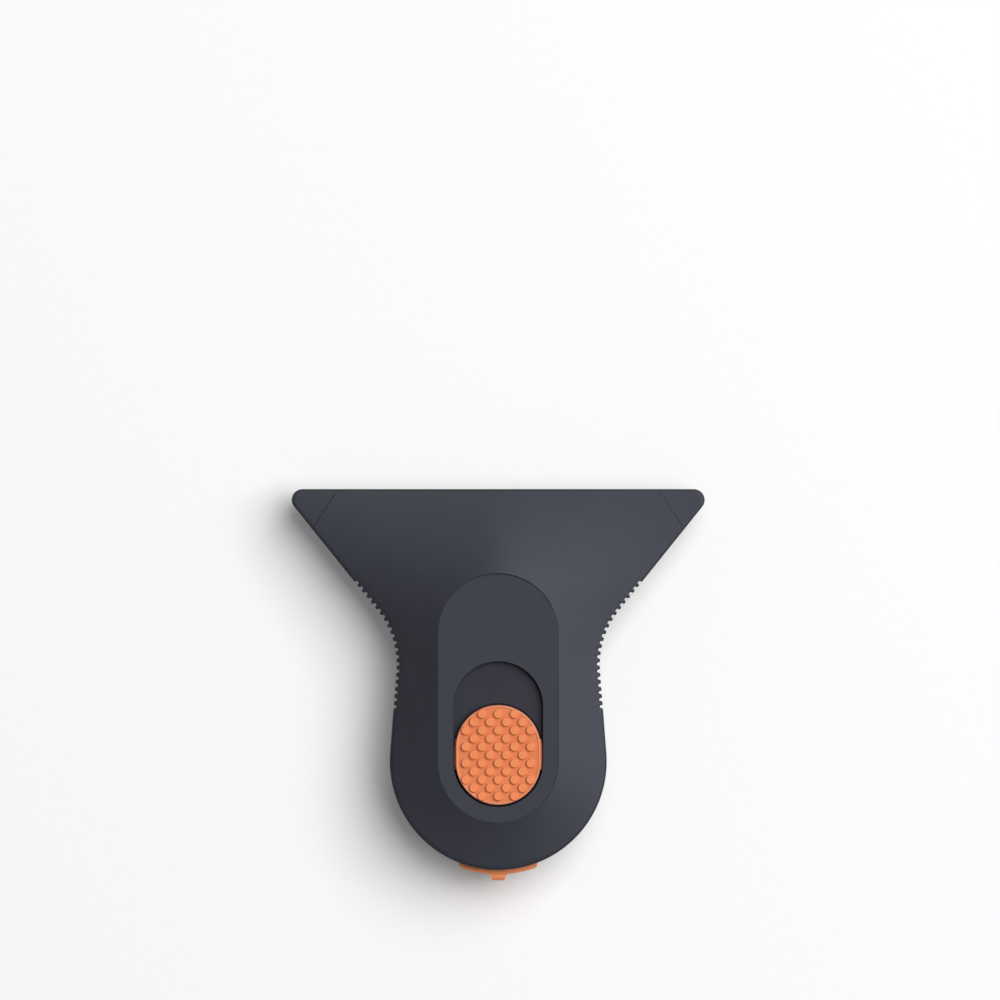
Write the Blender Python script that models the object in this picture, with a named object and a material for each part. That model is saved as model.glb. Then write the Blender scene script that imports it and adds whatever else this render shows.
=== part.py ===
"""Ceramic blade scraper, a retractable hand scraper about 64 mm wide.

The tool lies on its back: +Z is the slider side, +Y is the blade end and +X is
to the right.  The origin is the centre of the bottom of the bounding box.

Inside, from the back up: a tray with its guide ribs, a carrier that slides
along Y, a white ceramic blade that drops over four lugs on the carrier, and a
lid that swings up about two steel pins in the nose so that the blade can be
changed without a tool.  A push-in latch in the tail holds the lid shut.
"""

import math

import bmesh
import bpy
from mathutils import Matrix, Vector

MM = 0.001

# ---------------------------------------------------------------- dimensions
# All in millimetres.  Outline, seen from the slider side.
FRONT_Y = 30.5          # the flat front edge
CORNER_X = 30.515       # centre of the rounded front corner
CORNER_Y = 28.815
CORNER_R = 1.685
SIDE_ANGLE = 38.8       # of the straight sides, from the Y axis
WAIST_X = 29.42         # centre of the hollow at the grip
WAIST_Y = 3.08
WAIST_R = 13.57
FLARE_ANGLE = 4.4       # of the sides behind the waist
TAIL_Y = -11.93         # centre of the round tail
TAIL_R = 16.91

# Thickness.
PART_Z = 6.3            # height of the parting plane, and of the blade's middle
GAP_Z = 0.05            # half the gap between the two shells
RIDGE_H = 7.9           # ridge of the faces over the parting plane, if not cut by the panel
TAPER_Y = 19.0          # ahead of this the ridge falls in a straight line to the nose
TAPER_H = 5.85
TAPER_SLOPE = -0.25
RIDGE_SHARP = 0.12      # how far the ridge is rounded, as a share of the half width
TAIL_DROP = 0.8         # how far the ridge falls towards the tail
# height of the outer edge over the parting plane at stations along Y
EDGE_Y = (-29.0, -20.0, -12.0, 0.0, 8.0, 15.0, 21.0, 26.0, 30.5)
EDGE_H = (5.2, 4.9, 4.5, 4.4, 4.25, 3.65, 3.15, 2.85, 2.6)
EDGE_R = 0.5            # rounding of the edge at the sides and tail
EDGE_R_FRONT = 0.4      # and along the front
WALL_XY = 1.9
WALL_Z = 1.6
LID_WALL = 1.2          # the lid's is a little thinner

# Grip notches in both edges.
NOTCHES = 20
NOTCH_PITCH = 1.11
NOTCH_W = 0.5
NOTCH_D = 0.45
NOTCH_FIRST_Y = 15.77

# The flat recessed panel on the lid and the slot for the thumb.
PANEL_X = 9.36
PANEL_Y0 = -21.45
PANEL_Y1 = 17.4
PANEL_Z = 12.1          # its floor along the front arc
PANEL_RISE = 0.3        # and how much higher it lies at the tail end
SLOT_X = 6.95
SLOT_Y0 = -19.0
SLOT_Y1 = 3.65
CEILING_Z = PANEL_Z - 1.0

# The shallow panel on the back.
BACK_X = 5.5
BACK_Y0 = -17.5
BACK_Y1 = 13.5
BACK_D = 0.3

# Front corners, which belong to the tray and carry the hinge pins.
SEAM_FRONT = (25.0, 30.5)
SEAM_BACK = (28.9, 24.4)
SEAM_GAP = 0.42

# Lid hinge.
HINGE_Y = 29.6
HINGE_Z = 8.15
PIN_R = 0.35
BORE_R = 0.43
PIN_X0 = 22.0
PIN_X1 = 30.3

# Blade, a trapezoid with four open notches along its spine.
BLADE_EDGE_Y = 29.9     # retracted
BLADE_HALF = 30.5
BLADE_SPINE_HALF = 16.1
BLADE_H = 18.8
BLADE_T = 1.0
BLADE_CORNER_R = 1.0
BLADE_BEVEL = 2.3
BLADE_EDGE_T = 0.2
BLADE_NOTCH_PITCH = 6.8
BLADE_NOTCH_W = 4.1
BLADE_NOTCH_D = 4.6
SLIT_Z0 = 5.5
SLIT_Z1 = 7.15
SLIT_HALF = 30.85

# Slider.
TRAVEL = 6.6
BUTTON_Y0 = -18.68
BUTTON_Y1 = -3.1
BUTTON_X = 6.58
BUTTON_TOP = 12.85
BUTTON_RIM = 0.25
FLANGE_X = 6.8
FLANGE_Y0 = -13.2
FLANGE_Y1 = -8.4
FLANGE_Z = 11.65
DOT_R = 0.67
DOT_H = 0.33
DOT_PITCH_X = 2.53
DOT_PITCH_Y = 1.28
DOT_ROWS = (3, 4, 5, 4, 5, 4, 5, 4, 5, 4, 3)
DECK_Z0 = 9.95
DECK_Z1 = 10.85
DECK_X = 7.8
DECK_Y0 = -22.2
DECK_Y1 = 4.5
DECK_TAIL_Y0 = -24.2    # a lower lip behind it
DECK_TAIL_Z0 = 9.8
DECK_TAIL_Z1 = 10.5
PLATE_Z0 = 4.0
PLATE_Z1 = 5.5

# Rear latch.
LATCH_HALF = 6.45
LATCH_END = 5.55        # where its outer arc ends
LATCH_OUT_R = 17.6
LATCH_IN_R = 15.3
LATCH_Z0 = 4.3
LATCH_Z1 = 9.6
TAB_SIDE = ((1.65, -29.1), (1.65, -29.47), (1.27, -29.7), (1.08, -30.1), (0.93, -30.5))
LATCH_TRAVEL = 1.2
WINDOW_HALF = 6.65
WINDOW_Z0 = 4.0
WINDOW_Z1 = 9.9


# ------------------------------------------------------------------ clearing
for old in list(bpy.data.objects):
    bpy.data.objects.remove(old, do_unlink=True)


# ----------------------------------------------------------------- materials
def material(name, colour, roughness, metallic=0.0):
    mat = bpy.data.materials.new(name)
    mat.use_nodes = True
    shader = mat.node_tree.nodes["Principled BSDF"]
    shader.inputs["Base Color"].default_value = (*colour, 1.0)
    shader.inputs["Roughness"].default_value = roughness
    shader.inputs["Metallic"].default_value = metallic
    mat.diffuse_color = (*colour, 1.0)
    return mat


NYLON = (0.052, 0.052, 0.062)
ORANGE = (0.84, 0.24, 0.09)


# ------------------------------------------------------------------- outline
def lerp(a, b, t):
    return a + (b - a) * t


def side_points(corner=5, side=6, waist=6, flare=4, tail=14, inset=0.0):
    """Points of the right edge with their outward normals, front to tail.

    The edge is drawn in by inset.  The front corner keeps a small radius even
    where the inset is larger than the corner's own.
    """
    s = math.radians(SIDE_ANGLE)
    f = math.radians(FLARE_ANGLE)
    pts = []
    n = (math.cos(s), -math.sin(s))
    reach = n[0] * CORNER_X + n[1] * CORNER_Y + CORNER_R - inset
    r = max(CORNER_R - inset, 0.3)
    cy = FRONT_Y - inset - r
    cx = (reach - r - n[1] * cy) / n[0]
    for i in range(corner + 1):
        a = lerp(math.pi / 2, -s, i / corner)
        n = (math.cos(a), math.sin(a))
        pts.append((cx + r * n[0], cy + r * n[1], *n))
    n = (math.cos(s), -math.sin(s))
    a = pts[-1]
    waist_r = WAIST_R + inset
    b = (WAIST_X - waist_r * n[0], WAIST_Y - waist_r * n[1])
    for i in range(1, side + 1):
        t = i / side
        pts.append((lerp(a[0], b[0], t), lerp(a[1], b[1], t), *n))
    for i in range(1, waist + 1):
        a = lerp(math.pi - s, math.pi + f, i / waist)
        n = (-math.cos(a), -math.sin(a))
        pts.append((WAIST_X - waist_r * n[0], WAIST_Y - waist_r * n[1], *n))
    n = (math.cos(f), math.sin(f))
    a = pts[-1]
    tail_r = TAIL_R - inset
    b = (tail_r * n[0], TAIL_Y + tail_r * n[1])
    for i in range(1, flare + 1):
        t = i / flare
        pts.append((lerp(a[0], b[0], t), lerp(a[1], b[1], t), *n))
    for i in range(1, tail + 1):
        a = lerp(f, -math.pi / 2, i / tail)
        n = (math.cos(a), math.sin(a))
        if i == tail:
            n = (0.0, -1.0)
        pts.append((tail_r * n[0], TAIL_Y + tail_r * n[1], *n))
    return pts


FINE_SIDE = side_points(12, 20, 20, 12, 40)


def half_width(y):
    """Half the width of the outline at y, ahead of the tail's centre."""
    if y >= FRONT_Y:
        return CORNER_X
    for (x0, y0, _, _), (x1, y1, _, _) in zip(FINE_SIDE, FINE_SIDE[1:]):
        if y1 <= y <= y0 and y0 > y1:
            return lerp(x0, x1, (y0 - y) / (y0 - y1))
    return TAIL_R


def smooth(t):
    t = min(max(t, 0.0), 1.0)
    return t * t * (3.0 - 2.0 * t)


def ridge(y):
    """Height over the parting plane on the centre line."""
    if y <= 0.0:
        return RIDGE_H - TAIL_DROP * max((-8.0 - y) / 20.8, 0.0) ** 2
    if y >= TAPER_Y:
        return TAPER_H + TAPER_SLOPE * (y - TAPER_Y)
    t = y / TAPER_Y
    return (
        (2 * t**3 - 3 * t**2 + 1) * RIDGE_H
        + (3 * t**2 - 2 * t**3) * TAPER_H
        + (t**3 - t**2) * TAPER_SLOPE * TAPER_Y
    )


def edge_height(y):
    """Height over the parting plane at the outer edge, smooth through the stations."""
    if y <= EDGE_Y[0]:
        return EDGE_H[0]
    for i in range(len(EDGE_Y) - 1):
        if y <= EDGE_Y[i + 1]:
            break
    t = (y - EDGE_Y[i]) / (EDGE_Y[i + 1] - EDGE_Y[i])

    def slope(k):
        if k == 0:
            return 0.0
        lo, hi = max(k - 1, 0), min(k + 1, len(EDGE_Y) - 1)
        return (EDGE_H[hi] - EDGE_H[lo]) / (EDGE_Y[hi] - EDGE_Y[lo])

    span = EDGE_Y[i + 1] - EDGE_Y[i]
    return (
        (2 * t**3 - 3 * t**2 + 1) * EDGE_H[i]
        + (3 * t**2 - 2 * t**3) * EDGE_H[i + 1]
        + (t**3 - 2 * t**2 + t) * slope(i) * span
        + (t**3 - t**2) * slope(i + 1) * span
    )


def face_height(x, y):
    """Height of the outer face over the parting plane: a rounded roof."""
    if y < TAIL_Y:
        u = math.hypot(x, y - TAIL_Y) / TAIL_R
    else:
        u = abs(x) / half_width(y)
    u = min(u, 1.0)
    a = RIDGE_SHARP
    fall = (math.sqrt(u * u + a * a) - a) / (math.sqrt(1.0 + a * a) - a)
    top, side = ridge(y), edge_height(y)
    return top - (top - side) * fall


def edge_radius(y):
    return lerp(EDGE_R, EDGE_R_FRONT, smooth((y - 22.0) / 6.0))


# -------------------------------------------------------------- mesh helpers
def finish(name, bm, origin=(0.0, 0.0, 0.0), mat=None, guide=False, smooth_angle=None):
    """Puts a bmesh drawn in millimetres into the scene, in metres."""
    bmesh.ops.recalc_face_normals(bm, faces=bm.faces)
    bmesh.ops.transform(bm, matrix=Matrix.Translation(-Vector(origin)), verts=bm.verts)
    bmesh.ops.scale(bm, vec=(MM, MM, MM), verts=bm.verts)
    mesh = bpy.data.meshes.new(name)
    bm.to_mesh(mesh)
    bm.free()
    obj = bpy.data.objects.new(name, mesh)
    obj.location = Vector(origin) * MM
    bpy.context.collection.objects.link(obj)
    if guide:
        obj.hide_render = True
        obj.display_type = "WIRE"
    if mat:
        mesh.materials.append(mat)
    if smooth_angle:
        mesh.shade_smooth()
        mesh.set_sharp_from_angle(angle=math.radians(smooth_angle))
    return obj


def add_prism(bm, pts, z0, z1):
    low = [bm.verts.new((x, y, z0)) for x, y in pts]
    base = bm.faces.new(low)
    out = bmesh.ops.extrude_face_region(bm, geom=[base])
    top = [v for v in out["geom"] if isinstance(v, bmesh.types.BMVert)]
    bmesh.ops.translate(bm, verts=top, vec=(0, 0, z1 - z0))


def add_box(bm, x0, x1, y0, y1, z0, z1):
    add_prism(bm, [(x0, y0), (x1, y0), (x1, y1), (x0, y1)], z0, z1)


def prism(name, pts, z0, z1, **kw):
    bm = bmesh.new()
    add_prism(bm, pts, z0, z1)
    return finish(name, bm, **kw)


def boxes(name, rows, **kw):
    bm = bmesh.new()
    for row in rows:
        add_box(bm, *row)
    return finish(name, bm, **kw)


def stadium(half, y0, y1, n=13):
    """A slot shape with round ends, counter-clockwise."""
    pts = []
    for i in range(n + 1):
        a = math.pi * i / n
        pts.append((half * math.cos(a), y1 - half + half * math.sin(a)))
    for i in range(n + 1):
        a = math.pi + math.pi * i / n
        pts.append((half * math.cos(a), y0 + half + half * math.sin(a)))
    return pts


def rod_along_x(bm, x0, x1, y, z, r, n=12):
    ring = [
        bm.verts.new((x0, y + r * math.cos(2 * math.pi * i / n), z + r * math.sin(2 * math.pi * i / n)))
        for i in range(n)
    ]
    base = bm.faces.new(ring)
    out = bmesh.ops.extrude_face_region(bm, geom=[base])
    top = [v for v in out["geom"] if isinstance(v, bmesh.types.BMVert)]
    bmesh.ops.translate(bm, verts=top, vec=(x1 - x0, 0, 0))


def slab(bm, inset, flat_z, height, sign=1, rounded=False, capped=True, columns=8, counts=(5, 6, 6, 4, 14)):
    """A solid between a flat face at flat_z and a crowned face.

    height(x, y) is measured from the parting plane, upwards if sign is 1 and
    downwards if it is -1.  The outline is drawn in by inset, and the edge of
    the crowned face is rounded where rounded is set.  The flat face is left
    out where capped isn't set.
    """
    side = side_points(*counts, inset=inset)
    us = [1.0 - 2.0 * j / columns for j in range(columns + 1)]
    ring = [(x, y, nx, ny) for x, y, nx, ny in reversed(side)]
    ring += [(side[0][0] * u, side[0][1], 0.0, 1.0) for u in us[1:-1]]
    ring += [(-x, y, -nx, ny) for x, y, nx, ny in side[:-1]]

    def at(x, y, drop):
        return bm.verts.new((x, y, PART_Z + sign * (height(x, y) - drop)))

    steps = (0.0, 0.5, 1.0) if rounded else (1.0,)
    rings = []
    for s in steps:
        level = []
        for x, y, nx, ny in ring:
            r = edge_radius(y) if rounded else 0.0
            a = s * math.pi / 2
            d = r * (1 - math.cos(a))
            level.append(at(x - nx * d, y - ny * d, r * (1 - math.sin(a))))
        rings.append(level)
    base = [bm.verts.new((x, y, flat_z)) for x, y, nx, ny in ring]
    rings.insert(0, base)
    count = len(ring)
    for a, b in zip(rings, rings[1:]):
        for i in range(count):
            k = (i + 1) % count
            bm.faces.new((a[i], a[k], b[k], b[i]))
    if capped:
        bm.faces.new(list(reversed(base)))
    top = rings[-1]
    n = len(side)
    # right edge runs from the tail (index 0) to the corner (index n - 1)
    right = [top[n - 1 - i] for i in range(n)]
    left = [top[(n - 1) + columns + i] if (n - 1) + columns + i < count else top[0] for i in range(n)]
    rows = []
    for i in range(n - 1):
        r, l = right[i].co, left[i].co
        row = [right[i]]
        if i == 0:
            row += top[n : n + columns - 1]
        else:
            for u in us[1:-1]:
                x = lerp(l.x, r.x, (u + 1) / 2)
                row.append(at(x, r.y, 0.0))
        row.append(left[i])
        rows.append(row)
    for a, b in zip(rows, rows[1:]):
        for j in range(columns):
            bm.faces.new((a[j], a[j + 1], b[j + 1], b[j]))
    tail = rows[-1]
    for j in range(columns):
        bm.faces.new((tail[j], tail[j + 1], top[0]))
    bmesh.ops.triangulate(bm, faces=bm.faces)


def cut(obj, cutter, operation="DIFFERENCE"):
    mod = obj.modifiers.new(cutter.name, "BOOLEAN")
    mod.operation = operation
    mod.solver = "EXACT"
    mod.object = cutter


# ------------------------------------------------------------ shared cutters
def edge_length_points():
    """The right edge as a fine polyline with running length."""
    out, run = [], 0.0
    prev = None
    for x, y, nx, ny in side_points(12, 60, 60, 60, 60):
        if prev:
            run += math.hypot(x - prev[0], y - prev[1])
        prev = (x, y)
        out.append((run, x, y, nx, ny))
    return out


def notch_places():
    """Twenty places along the right edge, a pitch apart."""
    fine = edge_length_points()
    start = next(p[0] for p in fine if p[2] <= NOTCH_FIRST_Y and p[1] < 31.0)
    places = []
    for i in range(NOTCHES):
        want = start + i * NOTCH_PITCH
        for a, b in zip(fine, fine[1:]):
            if a[0] <= want <= b[0]:
                t = (want - a[0]) / (b[0] - a[0])
                places.append(tuple(lerp(a[k], b[k], t) for k in range(1, 5)))
                break
    return places


def notch_cutter():
    bm = bmesh.new()
    w, d = NOTCH_W / 2, NOTCH_D
    shape = [(-w, 0.4), (-w, -d + w), (-w * 0.5, -d), (w * 0.5, -d), (w, -d + w), (w, 0.4)]
    for x, y, nx, ny in notch_places():
        tx, ty = -ny, nx
        pts = [(x + tx * s + nx * r, y + ty * s + ny * r) for s, r in shape]
        add_prism(bm, pts, -1.0, 15.0)
        add_prism(bm, [(-px, py) for px, py in reversed(pts)], -1.0, 15.0)
    return finish("cut_grip_notches", bm, guide=True)


def seam_polygon(side, shift):
    """The corner outside the slanted seam, moved outwards by shift."""
    (x0, y0), (x1, y1) = SEAM_FRONT, SEAM_BACK
    length = math.hypot(x1 - x0, y1 - y0)
    dx, dy = (x1 - x0) / length, (y1 - y0) / length
    nx, ny = -dy, dx
    a = (x0 - dx * 2.0 + nx * shift, y0 - dy * 2.0 + ny * shift)
    b = (x1 + dx * 2.2 + nx * shift, y1 + dy * 2.2 + ny * shift)
    pts = [a, b, (38.0, b[1]), (38.0, a[1])]
    return [(side * x, y) for x, y in pts]


def blade_way():
    """The flat space the blade slides in, open at the front."""
    slope = (BLADE_HALF - BLADE_SPINE_HALF) / BLADE_H
    back = BLADE_EDGE_Y - BLADE_H - 0.4
    lead = BLADE_EDGE_Y - 0.4
    wide = BLADE_SPINE_HALF + 0.45
    pts = [(SLIT_HALF, FRONT_Y + 1.0), (-SLIT_HALF, FRONT_Y + 1.0), (-SLIT_HALF, lead)]
    pts += [(-wide, back), (wide, back), (SLIT_HALF, lead)]
    return prism("cut_blade_way", pts, SLIT_Z0, SLIT_Z1, guide=True)


def bore_cutter():
    bm = bmesh.new()
    rod_along_x(bm, PIN_X0 - 0.3, PIN_X1 + 0.3, HINGE_Y, HINGE_Z, BORE_R, 16)
    rod_along_x(bm, -PIN_X1 - 0.3, -PIN_X0 + 0.3, HINGE_Y, HINGE_Z, BORE_R, 16)
    return finish("cut_pin_bores", bm, guide=True)


cut_notches = notch_cutter()
cut_way = blade_way()
cut_bores = bore_cutter()
cut_window = boxes(
    "cut_latch_window",
    [(-WINDOW_HALF, WINDOW_HALF, -32.0, -24.0, WINDOW_Z0, WINDOW_Z1)],
    guide=True,
)

# --------------------------------------------------------------- lower shell
# The tray: the back of the tool, its side wall up to the parting plane, and
# the two front corners, which rise to the full height over the blade's ends.
def back_height(x, y):
    return min(face_height(x, y), PART_Z)


def inner_back(x, y):
    return back_height(x, y) - WALL_Z


# The whole outer body, from which the lid's space is cut.
bm = bmesh.new()
slab(bm, 0.0, PART_Z, back_height, sign=-1, rounded=True, capped=False)
slab(bm, 0.0, PART_Z, face_height, sign=1, rounded=True, capped=False)
bmesh.ops.remove_doubles(bm, verts=bm.verts, dist=0.001)
lower_shell = finish(
    "lower_shell",
    bm,
    mat=material("dark_nylon_tray", NYLON, 0.55),
    smooth_angle=30,
)
right = seam_polygon(1, SEAM_GAP / 2)[:2]
left = seam_polygon(-1, SEAM_GAP / 2)[:2]
lid_space = [
    (-40.0, -40.0), (40.0, -40.0), (40.0, right[1][1]), right[1], right[0],
    left[0], left[1], (-40.0, left[1][1]),
]
cut_lid_space = prism("cut_lid_space", lid_space, PART_Z - GAP_Z, 16.0, guide=True)
cut(lower_shell, cut_lid_space)

bm = bmesh.new()
slab(bm, WALL_XY, PART_Z + 0.4, inner_back, sign=-1)
cut_tray = finish("cut_tray_hollow", bm, guide=True)
# the hollow stays open under the lid only, not above the parting plane in the corners
cut(lower_shell, cut_tray)

# Ribs that grow from the tray's floor.  Each is rooted halfway into the wall.
def back_skin(x, y):
    return PART_Z - back_height(x, y) + WALL_Z / 2


def lid_skin(x, y):
    return PART_Z + face_height(x, y) - WALL_Z / 2


def add_rib(bm, x0, x1, y0, y1, z, skin, n=5):
    """A rib along Y between x0 and x1, from the flat edge at z to the skin."""
    x = (x0 + x1) / 2
    root = [(lerp(y1, y0, i / n), skin(x, lerp(y1, y0, i / n))) for i in range(n + 1)]
    low = [bm.verts.new((x0, y, h)) for y, h in [(y0, z), (y1, z)] + root]
    base = bm.faces.new(low)
    out = bmesh.ops.extrude_face_region(bm, geom=[base])
    far = [v for v in out["geom"] if isinstance(v, bmesh.types.BMVert)]
    bmesh.ops.translate(bm, verts=far, vec=(x1 - x0, 0, 0))


bm = bmesh.new()
for side in (1, -1):
    for x, half, y0, y1, z in (
        (12.1, 0.6, -16.0, 6.0, 4.8),        # carrier guides
        (15.2, 0.6, 14.0, 29.2, SLIT_Z0),    # blade rests
        (20.9, 0.6, 20.5, 29.2, SLIT_Z0),
        (3.6, 0.6, -26.9, -21.9, 4.0),       # under the latch
    ):
        add_rib(bm, side * x - half, side * x + half, y0, y1, z, back_skin)
add_box(bm, -5.0, 5.0, -21.2, -20.2, 0.9, 6.0)   # behind the latch spring
tray_ribs = finish("guide_tray_ribs", bm, guide=True)
cut(lower_shell, tray_ribs, "UNION")

# Three detent notches in the right guide rib, half the travel apart.
DETENT_Y = -10.5
bm = bmesh.new()
for i in range(3):
    y = DETENT_Y + i * TRAVEL / 2
    add_prism(bm, [(11.0, y - 1.25), (12.1, y - 0.15), (12.1, y + 0.15), (11.0, y + 1.25)], 3.6, 6.0)
cut_detents = finish("cut_detents", bm, guide=True)
cut(lower_shell, cut_detents)

cut(lower_shell, cut_way)
cut(lower_shell, cut_window)
cut(lower_shell, cut_bores)
cut(lower_shell, cut_notches)
cut_back = prism("cut_back_panel", stadium(BACK_X, BACK_Y0, BACK_Y1), -1.0, BACK_D, guide=True)
cut(lower_shell, cut_back)

# --------------------------------------------------------------- upper shell
HINGE = (0.0, HINGE_Y, HINGE_Z)


def inner_face(x, y):
    return min(face_height(x, y) - LID_WALL, CEILING_Z - PART_Z)


bm = bmesh.new()
slab(bm, 0.0, PART_Z + GAP_Z, face_height, sign=1, rounded=True)
upper_shell = finish(
    "upper_shell",
    bm,
    origin=HINGE,
    mat=material("dark_nylon_lid", NYLON, 0.55),
    smooth_angle=30,
)
bm = bmesh.new()
for side in (1, -1):
    add_prism(bm, seam_polygon(side, -SEAM_GAP / 2), PART_Z - 1.0, 15.0)
cut_corners = finish("cut_lid_corners", bm, guide=True)
cut(upper_shell, cut_corners)
bm = bmesh.new()
slab(bm, WALL_XY, PART_Z - 0.4, inner_face, sign=1)
cut_lid = finish("cut_lid_hollow", bm, guide=True)
cut(upper_shell, cut_lid)

# Ribs under the lid hold the blade down on its rests.
bm = bmesh.new()
for x, y0 in ((-20.0, 19.5), (-13.2, 13.0), (13.2, 13.0), (20.0, 19.5)):
    add_rib(bm, x - 0.5, x + 0.5, y0, 29.2, 7.1, lid_skin)
lid_ribs = finish("guide_lid_ribs", bm, guide=True)
cut(upper_shell, lid_ribs, "UNION")
cut(upper_shell, cut_way)
cut(upper_shell, cut_window)
cut(upper_shell, cut_bores)
cut(upper_shell, cut_notches)


def panel_floor(y):
    """The panel's floor is level ahead of its straight sides and rises a little behind."""
    front = PANEL_Y1 - PANEL_X
    return PANEL_Z + PANEL_RISE * max((front - y) / (front - PANEL_Y0), 0.0)


bm = bmesh.new()
pts = stadium(PANEL_X, PANEL_Y0, PANEL_Y1, 15)
low = [bm.verts.new((x, y, panel_floor(y))) for x, y in pts]
high = [bm.verts.new((x, y, 15.0)) for x, y in pts]
half = len(pts) // 2
bm.faces.new(low[:half])
bm.faces.new([low[half - 1]] + low[half:] + [low[0]])
bm.faces.new(high)
for i in range(len(pts)):
    k = (i + 1) % len(pts)
    bm.faces.new((low[i], low[k], high[k], high[i]))
cut_panel = finish("cut_panel", bm, guide=True)
cut(upper_shell, cut_panel)
cut_slot = prism("cut_thumb_slot", stadium(SLOT_X, SLOT_Y0, SLOT_Y1, 15), 9.0, 14.0, guide=True)
cut(upper_shell, cut_slot)

# The catch: a bar on two posts that hangs from the lid over the latch.
def catch_frame():
    out, post, low, bar, top = 3.4, 2.8, 8.0, 8.7, 11.1
    shape = [
        (-out, top), (-out, low), (out, low), (out, top),
        (post, top), (post, bar), (-post, bar), (-post, top),
    ]
    bm = bmesh.new()
    base = bm.faces.new([bm.verts.new((x, -25.45, z)) for x, z in shape])
    out = bmesh.ops.extrude_face_region(bm, geom=[base])
    far = [v for v in out["geom"] if isinstance(v, bmesh.types.BMVert)]
    bmesh.ops.translate(bm, verts=far, vec=(0, 0.8, 0))
    return finish("guide_catch", bm, guide=True)


cut(upper_shell, catch_frame(), "UNION")

# ---------------------------------------------------------------- hinge pins
for name, x0, x1 in (
    ("hinge_pin_right", PIN_X0, PIN_X1),
    ("hinge_pin_left", -PIN_X1, -PIN_X0),
):
    bm = bmesh.new()
    rod_along_x(bm, x0, x1, HINGE_Y, HINGE_Z, PIN_R, 12)
    finish(name, bm, origin=((x0 + x1) / 2, HINGE_Y, HINGE_Z), mat=material("steel_" + name, (0.62, 0.62, 0.63), 0.3, 1.0), smooth_angle=35)

# --------------------------------------------------------------------- blade
SLIDE = (0.0, 0.0, PART_Z)


def blade_outline():
    """The blade seen from above, counter-clockwise from the right edge corner."""
    spine_y = BLADE_EDGE_Y - BLADE_H
    pts = []

    def fillet(p, a, b, r, n):
        """Rounds the corner at p between the directions to a and b."""
        pa = Vector((a[0] - p[0], a[1] - p[1])).normalized()
        pb = Vector((b[0] - p[0], b[1] - p[1])).normalized()
        half = math.acos(max(-1.0, min(1.0, pa.dot(pb)))) / 2
        mid = (pa + pb).normalized()
        c = Vector(p) + mid * (r / math.sin(half))
        start = Vector(p) + pa * (r / math.tan(half)) - c
        end = Vector(p) + pb * (r / math.tan(half)) - c
        a0 = math.atan2(start.y, start.x)
        turn = math.atan2(start.x * end.y - start.y * end.x, start.dot(end))
        for i in range(n + 1):
            t = a0 + turn * i / n
            pts.append((c.x + r * math.cos(t), c.y + r * math.sin(t)))

    e = BLADE_EDGE_Y
    corners = [
        (BLADE_HALF, e),
        (-BLADE_HALF, e),
        (-BLADE_SPINE_HALF, spine_y),
        (BLADE_SPINE_HALF, spine_y),
    ]
    fillet(corners[0], corners[3], corners[1], BLADE_CORNER_R, 4)
    fillet(corners[1], corners[0], corners[2], BLADE_CORNER_R, 4)
    fillet(corners[2], corners[1], corners[3], BLADE_CORNER_R, 4)
    w = BLADE_NOTCH_W / 2
    for i in range(4):
        x = (i - 1.5) * BLADE_NOTCH_PITCH
        pts.append((x - w, spine_y))
        for k in range(7):
            a = math.pi - math.pi * k / 6
            pts.append((x + w * math.cos(a), spine_y + BLADE_NOTCH_D - w + w * math.sin(a)))
        pts.append((x + w, spine_y))
    fillet(corners[3], corners[2], corners[0], BLADE_CORNER_R, 4)
    return pts


blade = prism(
    "ceramic_blade",
    blade_outline(),
    PART_Z - BLADE_T / 2,
    PART_Z + BLADE_T / 2,
    origin=SLIDE,
    mat=material("white_ceramic", (0.86, 0.86, 0.84), 0.25),
)
bm = bmesh.new()
for sign in (1, -1):
    back = BLADE_EDGE_Y - BLADE_BEVEL
    run = [
        (back, PART_Z + sign * BLADE_T / 2),
        (BLADE_EDGE_Y, PART_Z + sign * BLADE_EDGE_T / 2),
    ]
    slope = (run[1][1] - run[0][1]) / BLADE_BEVEL
    y0, y1 = back - 0.6, BLADE_EDGE_Y + 0.8
    tri = [
        (y0, run[0][1] - slope * 0.6),
        (y1, run[1][1] + slope * 0.8),
        (y1, PART_Z + sign * 2.0),
        (y0, PART_Z + sign * 2.0),
    ]
    low = [bm.verts.new((-32.0, y, z)) for y, z in tri]
    base = bm.faces.new(low)
    out = bmesh.ops.extrude_face_region(bm, geom=[base])
    top = [v for v in out["geom"] if isinstance(v, bmesh.types.BMVert)]
    bmesh.ops.translate(bm, verts=top, vec=(64.0, 0, 0))
cut_bevel = finish("cut_blade_bevel", bm, guide=True)
cut(blade, cut_bevel)

# ------------------------------------------------------------- blade carrier
spine_y = BLADE_EDGE_Y - BLADE_H
plate = [
    (-11.2, -19.5), (11.2, -19.5), (11.2, 7.2), (12.5, 8.4), (14.4, 8.4), (14.4, spine_y - 0.3),
    (12.5, spine_y - 0.3), (12.5, 17.2), (-12.5, 17.2), (-12.5, spine_y - 0.3),
    (-14.4, spine_y - 0.3), (-14.4, 8.4), (-12.5, 8.4), (-11.2, 7.2),
]
carrier = prism(
    "blade_carrier",
    plate,
    PLATE_Z0,
    PLATE_Z1,
    origin=SLIDE,
    mat=material("black_acetal", (0.045, 0.044, 0.052), 0.5),
)
guide_shoulder = boxes(
    "guide_shoulder",
    [(-14.1, 14.1, 8.9, spine_y - 0.35, PLATE_Z1 - 0.5, 6.8)],         # behind the blade's spine
    guide=True,
)
bm = bmesh.new()
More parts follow.
